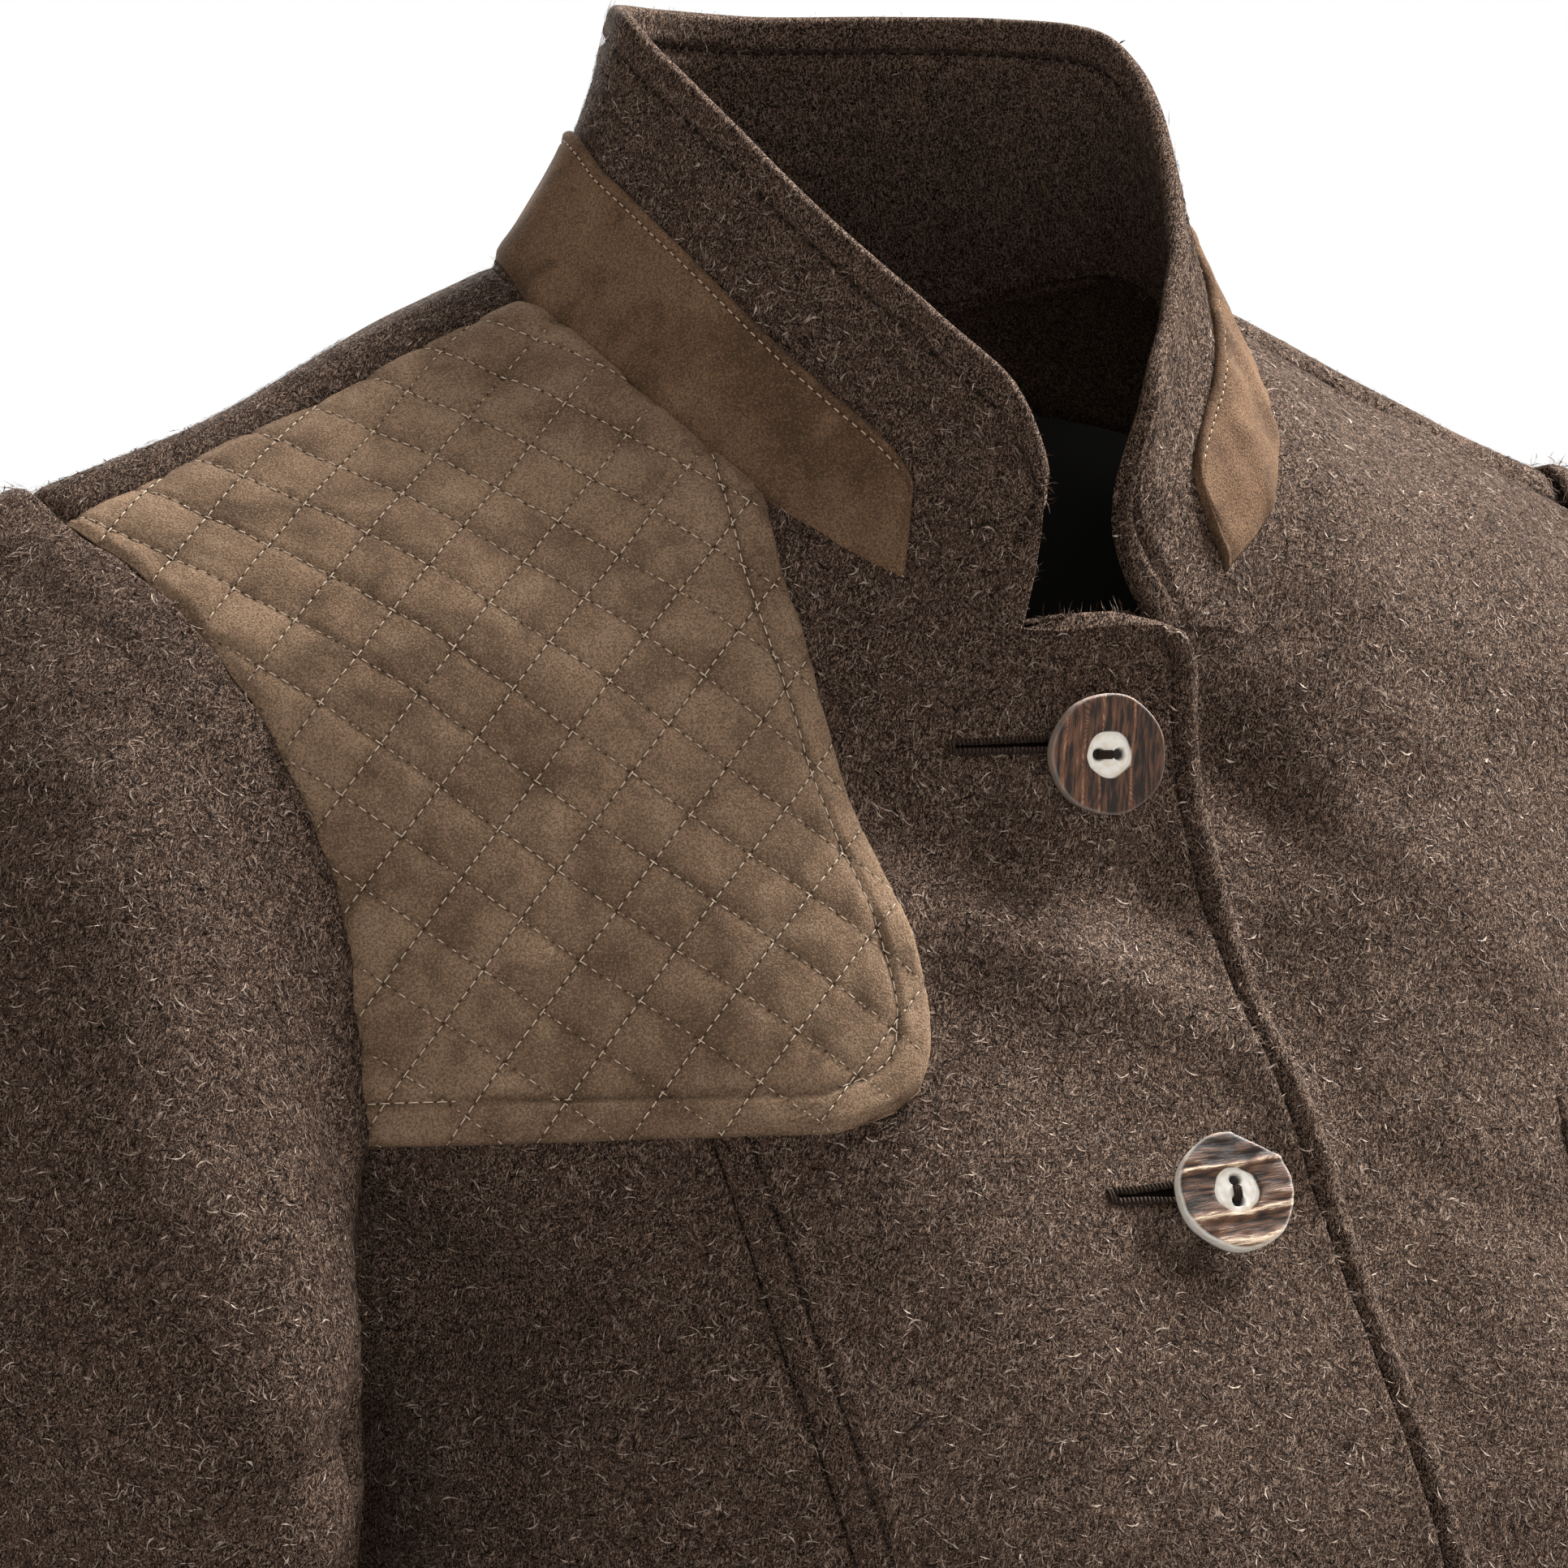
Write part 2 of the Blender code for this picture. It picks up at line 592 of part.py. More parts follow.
def add_sleeve(side, name):
    downs = between(0.0, 1.0, 5) + [1 + row for row in between(0.0, 5.0, 6)][1:]
    spans = {
        f"sleeve_{name}_top": (UNDER_SLEEVE_SPAN, 360 - UNDER_SLEEVE_SPAN, 10),
        f"sleeve_{name}_under": (-UNDER_SLEEVE_SPAN, UNDER_SLEEVE_SPAN, 5),
    }
    for node, (start, end, count) in spans.items():
        points, normals = surface_grid(
            lambda down, around: sleeve_point(side, max(down, 0.0), around),
            downs,
            lambda _: between(start, end, count),
        )
        middle = sleeve_ring_point(side, 1.0, 0) + sleeve_ring_point(side, 1.0, 180)
        normals = facing_away(points, normals, middle / 2)
        points = pulled_in(points, first_column=PRINCESS_GAP / 2, last_column=PRINCESS_GAP / 2)
        add_wall(node, points, normals, WOOL_THICKNESS, "loden")


def collar_grid(columns, shares_of):
    """Collar points along signed columns: negative ones are on the right half."""

    def surface(column, share):
        side = RIGHT if column < 0 else LEFT
        return collar_point(side, min(abs(column), 9.0), share)

    points, normals = surface_grid(surface, columns, shares_of)
    return points, facing_away(points, normals, (0, 0, 0))


def add_collar():
    columns = [c / 2 for c in range(-18, 19)]
    points, normals = collar_grid(columns, lambda _: between(0.0, 1.0, 4))
    points = pulled_in(points, first_column=COLLAR_BASE_GAP)
    normals[:, 0, 2] = 0
    normals[:, 0] /= np.linalg.norm(normals[:, 0], axis=-1, keepdims=True)
    add_wall("collar", points, normals, COLLAR_THICKNESS, "loden")


def add_collar_suede():
    columns = [-SUEDE_END_COLUMN] + [c / 2 for c in range(-14, 15)] + [SUEDE_END_COLUMN]

    def shares(column):
        upper = table_row(COLLAR_COLUMNS, abs(column))[3]
        return [0.04, 0.25, upper]

    points, normals = collar_grid(columns, shares)
    lift = SUEDE_LIFT + SUEDE_THICKNESS
    add_wall("collar_suede", points, normals, SUEDE_THICKNESS, "suede", lift=lift)


def share_at_out(side, row, out):
    """The share of a front row that lies at the given distance from the centre plane."""
    low, high = 0.0, 1.0
    for _ in range(30):
        middle = (low + high) / 2
        if side * front_point(side, row, middle)[0] < out:
            low = middle
        else:
            high = middle
    return high


def add_shoulder_patch():
    rows = [9.98, 10.12, 10.35, 10.7] + [float(row) for row in range(11, 18)]
    rows += between(17, FRONT_SHOULDER - 0.03, 8)[1:]

    def shares(row):
        start = 0.015
        if row <= PATCH_EDGE[-1].row:
            out = np.interp(row, [p.row for p in PATCH_EDGE], [p.out for p in PATCH_EDGE])
            start = max(start, share_at_out(RIGHT, row, out))
        return between(start, 0.992, 8)

    points, normals = front_grid(RIGHT, rows, shares)
    lift = LAID_ON_GAP + PATCH_THICKNESS
    add_wall("shoulder_patch", points, normals, PATCH_THICKNESS, "quilted_suede", lift=lift)


def add_chest_pocket():
    for welt in WELTS:

        def surface(height, share):
            place = (share - POCKET_SHARES[0]) / (POCKET_SHARES[1] - POCKET_SHARES[0])
            z = POCKET_HEIGHTS[0] + (POCKET_HEIGHTS[1] - POCKET_HEIGHTS[0]) * place + height
            row = row_where(UNDERARM_ROW, 13.0, lambda r: front_point(LEFT, r, share)[2], z)
            return front_point(LEFT, row, share)

        points, normals = surface_grid(
            surface, [welt.lower, welt.upper], lambda _: between(*POCKET_SHARES, 10)
        )
        normals = facing_away(points, normals, (0, 0, -300))
        lift = LAID_ROUND_GAP + WELT_THICKNESS
        add_wall(welt.name, points, normals, WELT_THICKNESS, "loden", lift=lift)


def turned_button():
    """A horn disc, face up, with its pith recess and two thread holes."""
    rim, top = BUTTON_EDGE_ROUND, BUTTON_THICKNESS
    profile = [
        (0.0, 0.0),
        (BUTTON_RADIUS, 0.0),
        (BUTTON_RADIUS, top - rim),
        (BUTTON_RADIUS - rim, top),
        (PITH_RADIUS, top),
        (PITH_RADIUS, top - PITH_DEPTH),
        (0.0, top - PITH_DEPTH),
    ]
    segments = 16
    shape = bmesh.new()
    rings = []
    for radius, height in profile:
        if radius == 0:
            rings.append([shape.verts.new((0, 0, height))] * segments)
            continue
        angles = [2 * math.pi * k / segments for k in range(segments)]
        rings.append([shape.verts.new((radius * math.cos(a), radius * math.sin(a), height)) for a in angles])
    for low, high in zip(rings, rings[1:]):
        for k in range(segments):
            ring = [low[k], low[(k + 1) % segments], high[(k + 1) % segments], high[k]]
            shape.faces.new(list(dict.fromkeys(ring)))
    disc = add_object("button_blank", shape, "horn")
    for place in (-0.5, 0.5):
        cutter = bmesh.new()
        bmesh.ops.create_cone(
            cutter,
            cap_ends=True,
            segments=8,
            radius1=THREAD_HOLE_RADIUS,
            radius2=THREAD_HOLE_RADIUS,
            depth=3 * BUTTON_THICKNESS,
            matrix=Matrix.Translation((place * THREAD_HOLE_SPACING, 0, 0)),
        )
        hole = add_object("thread_hole", cutter, "horn")
        hole.hide_render = True
        hole.display_type = "WIRE"
        cut = disc.modifiers.new("hole", "BOOLEAN")
        cut.operation = "DIFFERENCE"
        cut.object = hole
    bpy.context.view_layer.update()
    graph = bpy.context.evaluated_depsgraph_get()
    mesh = bpy.data.meshes.new_from_object(disc.evaluated_get(graph))
    for made in [disc] + [cut.object for cut in disc.modifiers]:
        bpy.data.objects.remove(made)
    return mesh


def row_where(low, high, height_at, z):
    """The row, between low and high, where the height reaches z."""
    for _ in range(30):
        middle = (low + high) / 2
        if height_at(middle) < z:
            low = middle
        else:
            high = middle
    return high


def with_midpoints(rows):
    """The rows with one more between each two, on the flat facets of the wall."""
    middles = (rows[:-1] + rows[1:]) / 2
    pairs = np.stack([rows[:-1], middles], axis=1)
    return np.concatenate([pairs.reshape(-1, *rows.shape[1:]), rows[-1:]])


def add_buttons():
    """Each button rests on the highest cloth beneath it, tilted a little on its thread shank."""
    mesh = turned_button()
    shares_of = lambda row: between(0.0, princess_share(row), FRONT_COLUMNS)
    cloth, _ = front_grid(RIGHT, body_rows(FRONT_SHOULDER), shares_of)
    for _ in range(3):
        cloth = with_midpoints(with_midpoints(cloth).swapaxes(0, 1)).swapaxes(0, 1)
    cloth = cloth.reshape(-1, 3)
    for number, button in enumerate(BUTTONS, 1):
        on_line = lambda r: front_point(RIGHT, r, share_at_out(RIGHT, r, BUTTON_OUT))
        row = row_where(1.0, 15.0, lambda r: on_line(r)[2], button.z)
        seat = on_line(row)
        yaw, nod = math.radians(button.yaw), math.radians(button.nod)
        face = np.array([math.sin(yaw) * math.cos(nod), -math.cos(yaw) * math.cos(nod), math.sin(nod)])
        away = cloth - seat
        height = away @ face
        beneath = np.linalg.norm(away - height[:, None] * face, axis=1) < BUTTON_RADIUS
        seat = seat + face * (height[beneath].max() + BUTTON_GAP)
        turn = Vector(face).to_track_quat("Z", "Y").to_matrix().to_4x4()
        made = bpy.data.objects.new(f"button_{number}", mesh)
        made.matrix_world = Matrix.Translation(Vector(seat) * MM) @ turn
        bpy.context.collection.objects.link(made)


def main():
    for found in list(bpy.context.scene.objects):
        bpy.data.objects.remove(found)
    add_front(RIGHT, "front_right", "side_front_right")
    add_front(LEFT, "front_left", "side_front_left")
    add_back(RIGHT, "back_right")
    add_back(LEFT, "back_left")
    add_back_lining()
    add_sleeve(RIGHT, "right")
    add_sleeve(LEFT, "left")
    add_collar()
    add_collar_suede()
    add_shoulder_patch()
    add_chest_pocket()
    add_buttons()


main()
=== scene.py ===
"""Looks of a women's loden jacket in the Tyrolean style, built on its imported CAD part.

Each cloth piece is cut from the same surface tables as its solid, as a fine grid of points with soft
folds, rolled edges and stitched grooves. Tables and sizes are in millimetres, +Z is up, the front
faces -Y and the wearer's right is -X. "out" is a distance from the centre plane: x = side * out.
"""

import math
from collections import namedtuple

import bpy
import numpy as np
from mathutils import Matrix, Vector


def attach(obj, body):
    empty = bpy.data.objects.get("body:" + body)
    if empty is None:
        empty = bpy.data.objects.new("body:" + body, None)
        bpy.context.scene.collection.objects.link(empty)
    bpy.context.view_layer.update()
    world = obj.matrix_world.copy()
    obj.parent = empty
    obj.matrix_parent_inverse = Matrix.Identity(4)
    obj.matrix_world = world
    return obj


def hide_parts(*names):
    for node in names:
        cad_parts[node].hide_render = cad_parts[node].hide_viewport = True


MM = 0.001
RIGHT, LEFT = -1, 1

# ---------------------------------------------------------------- the cut, as in the CAD part

FrontRow = namedtuple(
    "FrontRow",
    "edge_out edge_y edge_z edge_turn mid_out mid_y mid_z mid_turn side_out side_y side_z side_turn",
)
# At the armhole, rows 12 to 15 lie up to 2 mm off the CAD part's, so that the seam curves evenly.
FRONT_ROWS = [FrontRow(*row) for row in (
    (-25, -157, -610, 2, 118, -128, -610, 33, 186, 0, -610, 90),
    (-26, -151, -550, 2, 110, -125, -550, 33, 173, 0, -550, 90),
    (-27, -143, -480, 2, 100, -119, -480, 33, 157.5, 1, -480, 90),
    (-27, -141, -410, 2, 92, -117, -410, 33, 149, 2, -410, 90),
    (-27, -163, -340, 2, 98, -139, -340, 35, 155, 4, -340, 90),
    (-27, -170, -290, 2, 100, -147, -290, 35, 163, 5, -290, 90),
    (-26, -161, -250, 2, 100, -138, -250, 33, 166.5, 5, -250, 90),
    (-26, -143, -216, 2, 101, -121, -216, 30, 167, 5, -216, 90),
    (-26, -130.5, -197, 2, 101.5, -109, -197, 28, 166, -22, -211, 76),
    (-25.5, -118, -178, 2, 102, -98.5, -178, 26, 164, -46, -196, 55),
    (-25, -106.5, -159, 2, 104, -90, -160, 25, 163, -59, -161, 38),
    (-24.5, -94, -140, 2, 106, -82, -141, 24, 162, -55, -141, 33),
    (-24, -84, -121, 2, 107, -73, -121, 23, 161.8, -50.5, -122, 30),
    (-23.5, -76, -102, 2, 109, -63.5, -103, 21, 164.0, -44.4, -105, 28),
    (-23.5, -73, -86, 2, 112, -57.5, -89, 20, 167.3, -38.6, -91, 26),
    (-23, -73, -72.5, 2, 114, -53.5, -79, 19, 170.6, -32.6, -79.5, 25),
    (-14, -73.5, -66, 3, 115.5, -50.5, -74, 19, 173, -28, -74, 24),
    (19, -72, -66, 9, 117.5, -46.5, -68, 18, 175, -22, -67, 23),
    (42, -62, -55, 15, 121, -38, -58, 17, 178, -11, -59, 21),
    (63, -46, -40, 14, 126, -24, -46.5, 14, 181, 0, -53, 17),
    (75, -20, -20, 9, 130, -6, -35, 8, 183.5, 8, -49, 10),
    (80, 12, -2, 2, 132.5, 13.5, -24, 2, 185, 15, -46, 2),
)]
UNDERARM_ROW, FRONT_SHOULDER = 7, 21

# The back runs from the centre back seam, then the neck, to the side seam, then the armhole.
BackRow = namedtuple("BackRow", "centre_out centre_y centre_z centre_turn side_out side_y side_z side_turn")
BACK_ROWS = [BackRow(*row) for row in (
    (0, 118, -610, 0, 186, 0, -610, -90),
    (0, 116, -550, 0, 173, 0, -550, -90),
    (0, 98, -480, 0, 157.5, 1, -480, -90),
    (0, 79, -410, 0, 149, 2, -410, -90),
    (0, 86, -340, 0, 155, 4, -340, -90),
    (0, 96, -290, 0, 163, 5, -290, -90),
    (0, 102, -250, 0, 166.5, 5, -250, -90),
    (0, 106, -216, 0, 167, 5, -216, -90),
    (0, 108.5, -195, 0, 166.5, 25, -212, -78),
    (0, 110, -172, 0, 164, 44, -194, -64),
    (0, 111, -147, 0, 162.5, 58, -168, -50),
    (0, 110.5, -122, 0, 163, 64, -141, -42),
    (0, 108, -97, 0, 165.5, 65, -114, -37),
    (0, 103, -72, 0, 170, 60, -88, -33),
    (0, 95.5, -46, 0, 176, 51, -66, -28),
    (0, 84.5, -22, 0, 181, 42, -52, -22),
    (0, 74, -7, 0, 184.5, 34, -43.5, -16),
    (35, 68.5, -5, -10, 186, 29.5, -40.5, -12),
    (60, 52, 1.2, -12, 187, 25.5, -39.5, -8),
    (75.5, 29, 6, -4, 186.7, 20.5, -41, -2),
    (80, 12, -2, 2, 185, 15, -46, 2),
)]
BACK_NECK, BACK_SHOULDER = 16, 20
FULLNESS = 1.12

WOOL_THICKNESS = 2.8
COLLAR_THICKNESS = 3.6

UNDERLAP_STEP = 4.4
UNDERLAP_STEP_AT_NECK = 8.0
UNDERLAP_TUCK = 4.5
STEP_FULL_OUT, STEP_GONE_OUT = 30.0, 85.0
NECK_EDGE_HEIGHT, STEP_SETTLED_HEIGHT = -66.0, -130.0

# The princess seam: the share of the row, from edge to side, where it lies. It ends in the armhole.
SeamPoint = namedtuple("SeamPoint", "row share")
PRINCESS_SEAM = [SeamPoint(*row) for row in (
    (0, 0.5),
    (10, 0.5),
    (10.5, 0.58),
    (11, 0.7),
    (11.5, 0.85),
    (11.95, 0.985),
)]

# The quilted shoulder patch covers the right front outside this line.
PatchPoint = namedtuple("PatchPoint", "row out")
PATCH_EDGE = [PatchPoint(*row) for row in (
    (9.98, 82),
    (10.12, 71),
    (10.35, 63.5),
    (10.7, 58.5),
    (11.2, 55.5),
    (12, 56),
    (13, 59),
    (15, 63),
    (16, 64),
    (17, 64.5),
    (18, 65),
    (19, 63.8),
)]

# Collar columns go from the centre back to the front end. The base is the neck seam at that column.
CollarColumn = namedtuple("CollarColumn", "top_out top_y top_z suede_share")
COLLAR_COLUMNS = [CollarColumn(*row) for row in (
    (0, 50, 56, 0.5),
    (27, 45, 57, 0.5),
    (46.5, 33, 57.5, 0.5),
    (56.5, 16, 56, 0.5),
    (59.5, 2, 49.5, 0.5),
    (56.5, -18, 36, 0.49),
    (47.5, -41, 16, 0.47),
    (35, -62, -4, 0.44),
    (24.5, -72.5, -17, 0.42),
    (17.5, -76.5, -30, 0.4),
)]
# Up to the shoulder's column the collar sits on the back. From there each (column, row of the fronts).
SHOULDER_COLUMN = 4
NECK_SEAM_ROWS = [(SHOULDER_COLUMN, FRONT_SHOULDER), (7, 18.0), (8, 17.3), (9, 17.0)]
COLLAR_HOLLOW = 3.4
COLLAR_END_BOW = 3.0
LEFT_COLLAR_LEAN = 0.75
LEFT_COLLAR_SPREAD = 3.0
LEFT_COLLAR_DROP = 2.0
LEAN_FROM, LEAN_OVER = 3, 2.5
SPREAD_GONE, SPREAD_OVER = 8, 3
SUEDE_END_COLUMN = 7.05

# Sleeve rings go down the arm. A ring's swing turns its front towards the body.
SleeveRing = namedtuple("SleeveRing", "z out y half_out half_depth swing tilt")
SLEEVE_RINGS = [SleeveRing(*row) for row in (
    (-232, 217, -34, 46, 72, 12, 0),
    (-300, 221, -31, 45, 69, 12, 0.02),
    (-380, 227, -30, 43, 64, 10, 0.06),
    (-460, 233, -38, 40, 57, 10, 0.13),
    (-540, 239, -54, 36, 51, 10, 0.2),
    (-615, 244, -72, 33, 47, 10, 0.24),
)]
# How the sleeve leaves the armhole, round from the underarm by the front, the top and the back.
SleeveHead = namedtuple("SleeveHead", "around out y z pull drop")
SLEEVE_HEAD = [SleeveHead(*row) for row in (
    (0, 0.30, -0.05, -0.95, 12, 18),
    (45, 0.25, -0.35, -0.90, 30, 55),
    (90, 0.78, -0.32, -0.54, 80, 130),
    (135, 0.94, -0.14, -0.25, 120, 230),
    (180, 0.99, 0.00, -0.12, 125, 290),
    (225, 0.96, 0.10, -0.23, 110, 230),
    (270, 0.90, 0.18, -0.38, 70, 130),
    (315, 0.52, 0.16, -0.84, 30, 60),
    (360, 0.30, -0.05, -0.95, 12, 18),
)]
# Degrees of the sleeve from the underarm to each seam, the place of the cuff, and a small step down.
UNDER_SLEEVE_SPAN = 62.0
CUFF_DOWN = 6.0
SMALL_STEP = 0.05

Button = namedtuple("Button", "z yaw nod")
BUTTONS = [Button(*row) for row in (
    (-91, -15, 2),
    (-175.5, -14, 22),
    (-263, -8, 8),
    (-357, -6, -12),
    (-451, -8, 0),
)]
BUTTON_RADIUS, BUTTON_THICKNESS = 12.0, 4.0
PITH_RADIUS, THREAD_HOLE_SPACING = 4.5, 4.2

ARMHOLE_STEPS = 60

POCKET_SHARES = (0.47, 0.78)
POCKET_HEIGHTS = (-173.0, -191.0)
WELTS = {"chest_pocket_upper_welt": (0.6, 6.6), "chest_pocket_lower_welt": (-6.6, -0.6)}

# ---------------------------------------------------------------- surfaces, for whole arrays of places


def smooth_step(value):
    value = np.clip(value, 0.0, 1.0)
    return value * value * (3 - 2 * value)


def bump(value):
    """A soft bell, 1 at 0 and near nothing beyond 2."""
    return np.exp(-np.square(value))


def unit(vectors):
    return vectors / np.maximum(np.linalg.norm(vectors, axis=-1, keepdims=True), 1e-9)


def hermite(start, start_pull, end, end_pull, share):
    share = np.asarray(share, float)[..., None]
    square, cube = share**2, share**3
    return (
        (2 * cube - 3 * square + 1) * start
        + (cube - 2 * square + share) * start_pull
        + (3 * square - 2 * cube) * end
        + (cube - square) * end_pull
    )


def table_rows(table, position, mirrored=()):
    """The table's columns at places between its rows, on a smooth curve through them."""
    rows = np.array(table, float)
    last = len(rows) - 1
    place = np.clip(np.asarray(position, float), 0, last)
    below = np.minimum(place.astype(int), last - 1)
    before, after = np.maximum(below - 1, 0), np.minimum(below + 2, last)
    start_pull = (rows[below + 1] - rows[before]) / (below + 1 - before)[..., None]
    if mirrored:
        reflected = rows[1].copy()
        reflected[list(mirrored)] *= -1
        start_pull = np.where((below == 0)[..., None], (rows[1] - reflected) / 2, start_pull)
    end_pull = (rows[after] - rows[below]) / (after - below)[..., None]
    return hermite(rows[below], start_pull, rows[below + 1], end_pull, place - below)


def body_rows(table, position):
    """Rows of the body, whose outer edge turns a corner at the underarm."""
    outer = table[0]._fields.index("side_out")
    rows = table_rows(table, position)
    below = table_rows(table[: UNDERARM_ROW + 1], position)
    above = table_rows(table[UNDERARM_ROW:], position - UNDERARM_ROW)
    rows[..., outer:] = np.where((position <= UNDERARM_ROW)[..., None], below, above)[..., outer:]
    return rows


def cross_cut(start, start_turn, end, end_turn, share, start_rise=None, end_rise=None):
    """Points of the curve from start to end that leaves and arrives at the given turns."""
    reach = np.hypot(end[..., 0] - start[..., 0], end[..., 1] - start[..., 1]) * FULLNESS
    rise = end[..., 2] - start[..., 2]
    pulls = []
    for turn, own_rise in ((start_turn, start_rise), (end_turn, end_rise)):
        angle = np.radians(turn)
        height = rise if own_rise is None else own_rise
        pulls.append(np.stack([reach * np.cos(angle), reach * np.sin(angle), height], axis=-1))
    return hermite(start, pulls[0], end, pulls[1], share)


def underlap_step(side, out, z):
    """How far the left front lies behind the right one, where it passes under it."""
    if side == RIGHT:
        return np.zeros_like(out)
    settled = smooth_step((NECK_EDGE_HEIGHT - z) / (NECK_EDGE_HEIGHT - STEP_SETTLED_HEIGHT))
    depth = UNDERLAP_STEP_AT_NECK + (UNDERLAP_STEP - UNDERLAP_STEP_AT_NECK) * settled
    depth += UNDERLAP_TUCK * np.maximum(0.0, -out) / STEP_FULL_OUT
    return depth * (1 - smooth_step((out - STEP_FULL_OUT) / (STEP_GONE_OUT - STEP_FULL_OUT)))


def front_surface(side, row, share):
    row, share = np.broadcast_arrays(np.asarray(row, float), np.asarray(share, float))
    cut = body_rows(FRONT_ROWS, row)
    edge, middle, outer = cut[..., 0:3], cut[..., 4:7], cut[..., 8:11]
    rise = (outer[..., 2] - edge[..., 2]) / 2
    near = cross_cut(edge, cut[..., 3], middle, cut[..., 7], share * 2, None, rise)
    far = cross_cut(middle, cut[..., 7], outer, cut[..., 11], share * 2 - 1, rise, None)
    points = np.where((share <= 0.5)[..., None], near, far)
    points[..., 1] += underlap_step(side, points[..., 0], points[..., 2])
    points[..., 0] *= side
    return points


def back_surface(side, row, share):
    row, share = np.broadcast_arrays(np.asarray(row, float), np.asarray(share, float))
    cut = body_rows(BACK_ROWS, row)
    below = table_rows(BACK_ROWS[: BACK_NECK + 1], row)
    above = table_rows(BACK_ROWS[BACK_NECK:], row - BACK_NECK, mirrored=(0, 3))
    cut[..., :4] = np.where((row > BACK_NECK)[..., None], above, below)[..., :4]
    points = cross_cut(cut[..., 0:3], cut[..., 3], cut[..., 4:7], cut[..., 7], share)
    points[..., 0] *= side
    return points


def neck_line(side, column):
    """The neck seam at collar columns: 0 at the centre back, then round to the front end."""
    back = back_surface(side, BACK_NECK + np.minimum(column, SHOULDER_COLUMN), 0.0)
    front = front_surface(side, np.interp(column, *zip(*NECK_SEAM_ROWS)), 0.0)
    return np.where((column <= SHOULDER_COLUMN)[..., None], back, front)


def collar_surface(side, column, share):
    """The collar's outer face, from the neck seam (0) to the top edge (1)."""
    column, share = np.broadcast_arrays(np.asarray(column, float), np.asarray(share, float))
    base = neck_line(side, column)
    top = table_rows(COLLAR_COLUMNS, column, mirrored=(0,))[..., :3]
    lean = (1 + LEFT_COLLAR_LEAN) * smooth_step((column - LEAN_FROM) / LEAN_OVER)
    top[..., 1] += lean * underlap_step(side, top[..., 0], base[..., 2])
    top[..., 0] *= side
    if side == LEFT:
        spread = smooth_step(column / SPREAD_OVER) * smooth_step((SPREAD_GONE - column) / SPREAD_OVER)
        top += np.array([LEFT_COLLAR_SPREAD, 0.0, -LEFT_COLLAR_DROP]) * spread[..., None]
    points = base + (top - base) * share[..., None]
    inward = -unit(points * [1, 1, 0])
    points = points + inward * (COLLAR_HOLLOW * 4 * share * (1 - share))[..., None]
    near_end = smooth_step(column - (len(COLLAR_COLUMNS) - 2))
    points[..., 0] -= side * COLLAR_END_BOW * near_end * np.sin(math.pi * share)
    return points


def armhole_line(side, around):
    """The armhole seam at an angle: 0 underarm, 90 front, 180 shoulder, 270 back."""
    share = np.linspace(0, 1, ARMHOLE_STEPS + 1)
    front = front_surface(side, UNDERARM_ROW + (FRONT_SHOULDER - UNDERARM_ROW) * share, 1.0)
    back = back_surface(side, BACK_SHOULDER + (UNDERARM_ROW - BACK_SHOULDER) * share, 1.0)
    found = []
    for half, start in ((front, 0), (back, 180)):
        lengths = running_length(half)
        place = np.clip((around - start) / 180, 0, 1) * lengths[-1]
        found.append(np.stack([np.interp(place, lengths, half[:, axis]) for axis in range(3)], axis=-1))
    return np.where((around <= 180)[..., None], found[0], found[1])


def sleeve_ring(side, ring, around):
    cut = table_rows(SLEEVE_RINGS, ring)
    z, out, y, half_out, half_depth, swing, tilt = np.moveaxis(cut, -1, 0)
    angle, swing = np.radians(around), np.radians(swing)
    across, ahead = -np.cos(angle) * half_out, np.sin(angle) * half_depth
    plan_x = across * np.cos(swing) - ahead * np.sin(swing)
    plan_y = -across * np.sin(swing) - ahead * np.cos(swing)
    return np.stack([side * (out + plan_x), y + plan_y, z - tilt * plan_y], axis=-1)


def sleeve_surface(side, down, around):
    """The sleeve's outer face. Down 0 is the armhole, 1 the first ring, and 6 the cuff."""
    down, around = np.broadcast_arrays(np.asarray(down, float), np.asarray(around, float) % 360)
    arm = sleeve_ring(side, down - 1, around)
    head = table_rows(SLEEVE_HEAD, around / 45)
    leaving = unit(head[..., 1:4] * [side, 1, 1])
    start = armhole_line(side, around)
    end = sleeve_ring(side, np.zeros_like(down), around)
    onward = unit(sleeve_ring(side, np.full_like(down, SMALL_STEP), around) - end)
    crown = hermite(start, leaving * head[..., 4:5], end, onward * head[..., 5:6], np.clip(down, 0, 1))
    return np.where((down >= 1)[..., None], arm, crown)


# ---------------------------------------------------------------- grids of cloth

FINE_SHARE = 0.4
TRACK_POINTS, SHARE_POINTS = 400, 161
# At most this much of a short row goes to the distances kept at either end.
MOST_SQUEEZE = 0.45


def running_length(points):
    """Length along a line of points, or along each column of a grid of them."""
    steps = np.linalg.norm(np.diff(points, axis=0), axis=-1)
    return np.concatenate([np.zeros((1, *steps.shape[1:])), np.cumsum(steps, axis=0)])


def places(total, near_start, near_end, step, fine_span=None, fine_step=None):
    """Distances along a length: close together near both ends and in the fine span, else a step apart."""
    start, end = near_start[-1], total - near_end[-1]
    if fine_span is None:
        inner = np.linspace(start, end, max(2, round((end - start) / step)) + 1)
    else:
        stops = [start, *np.clip(fine_span, start, end), end]
        parts = [np.array([start])]
        for low, high, size in zip(stops[:-1], stops[1:], (step, fine_step, step)):
            if high > low:
                parts.append(np.linspace(low, high, max(1, round((high - low) / size)) + 1)[1:])
        inner = np.concatenate(parts)
    return np.concatenate([near_start[:-1], inner, total - np.array(near_end[:-1])[::-1]])


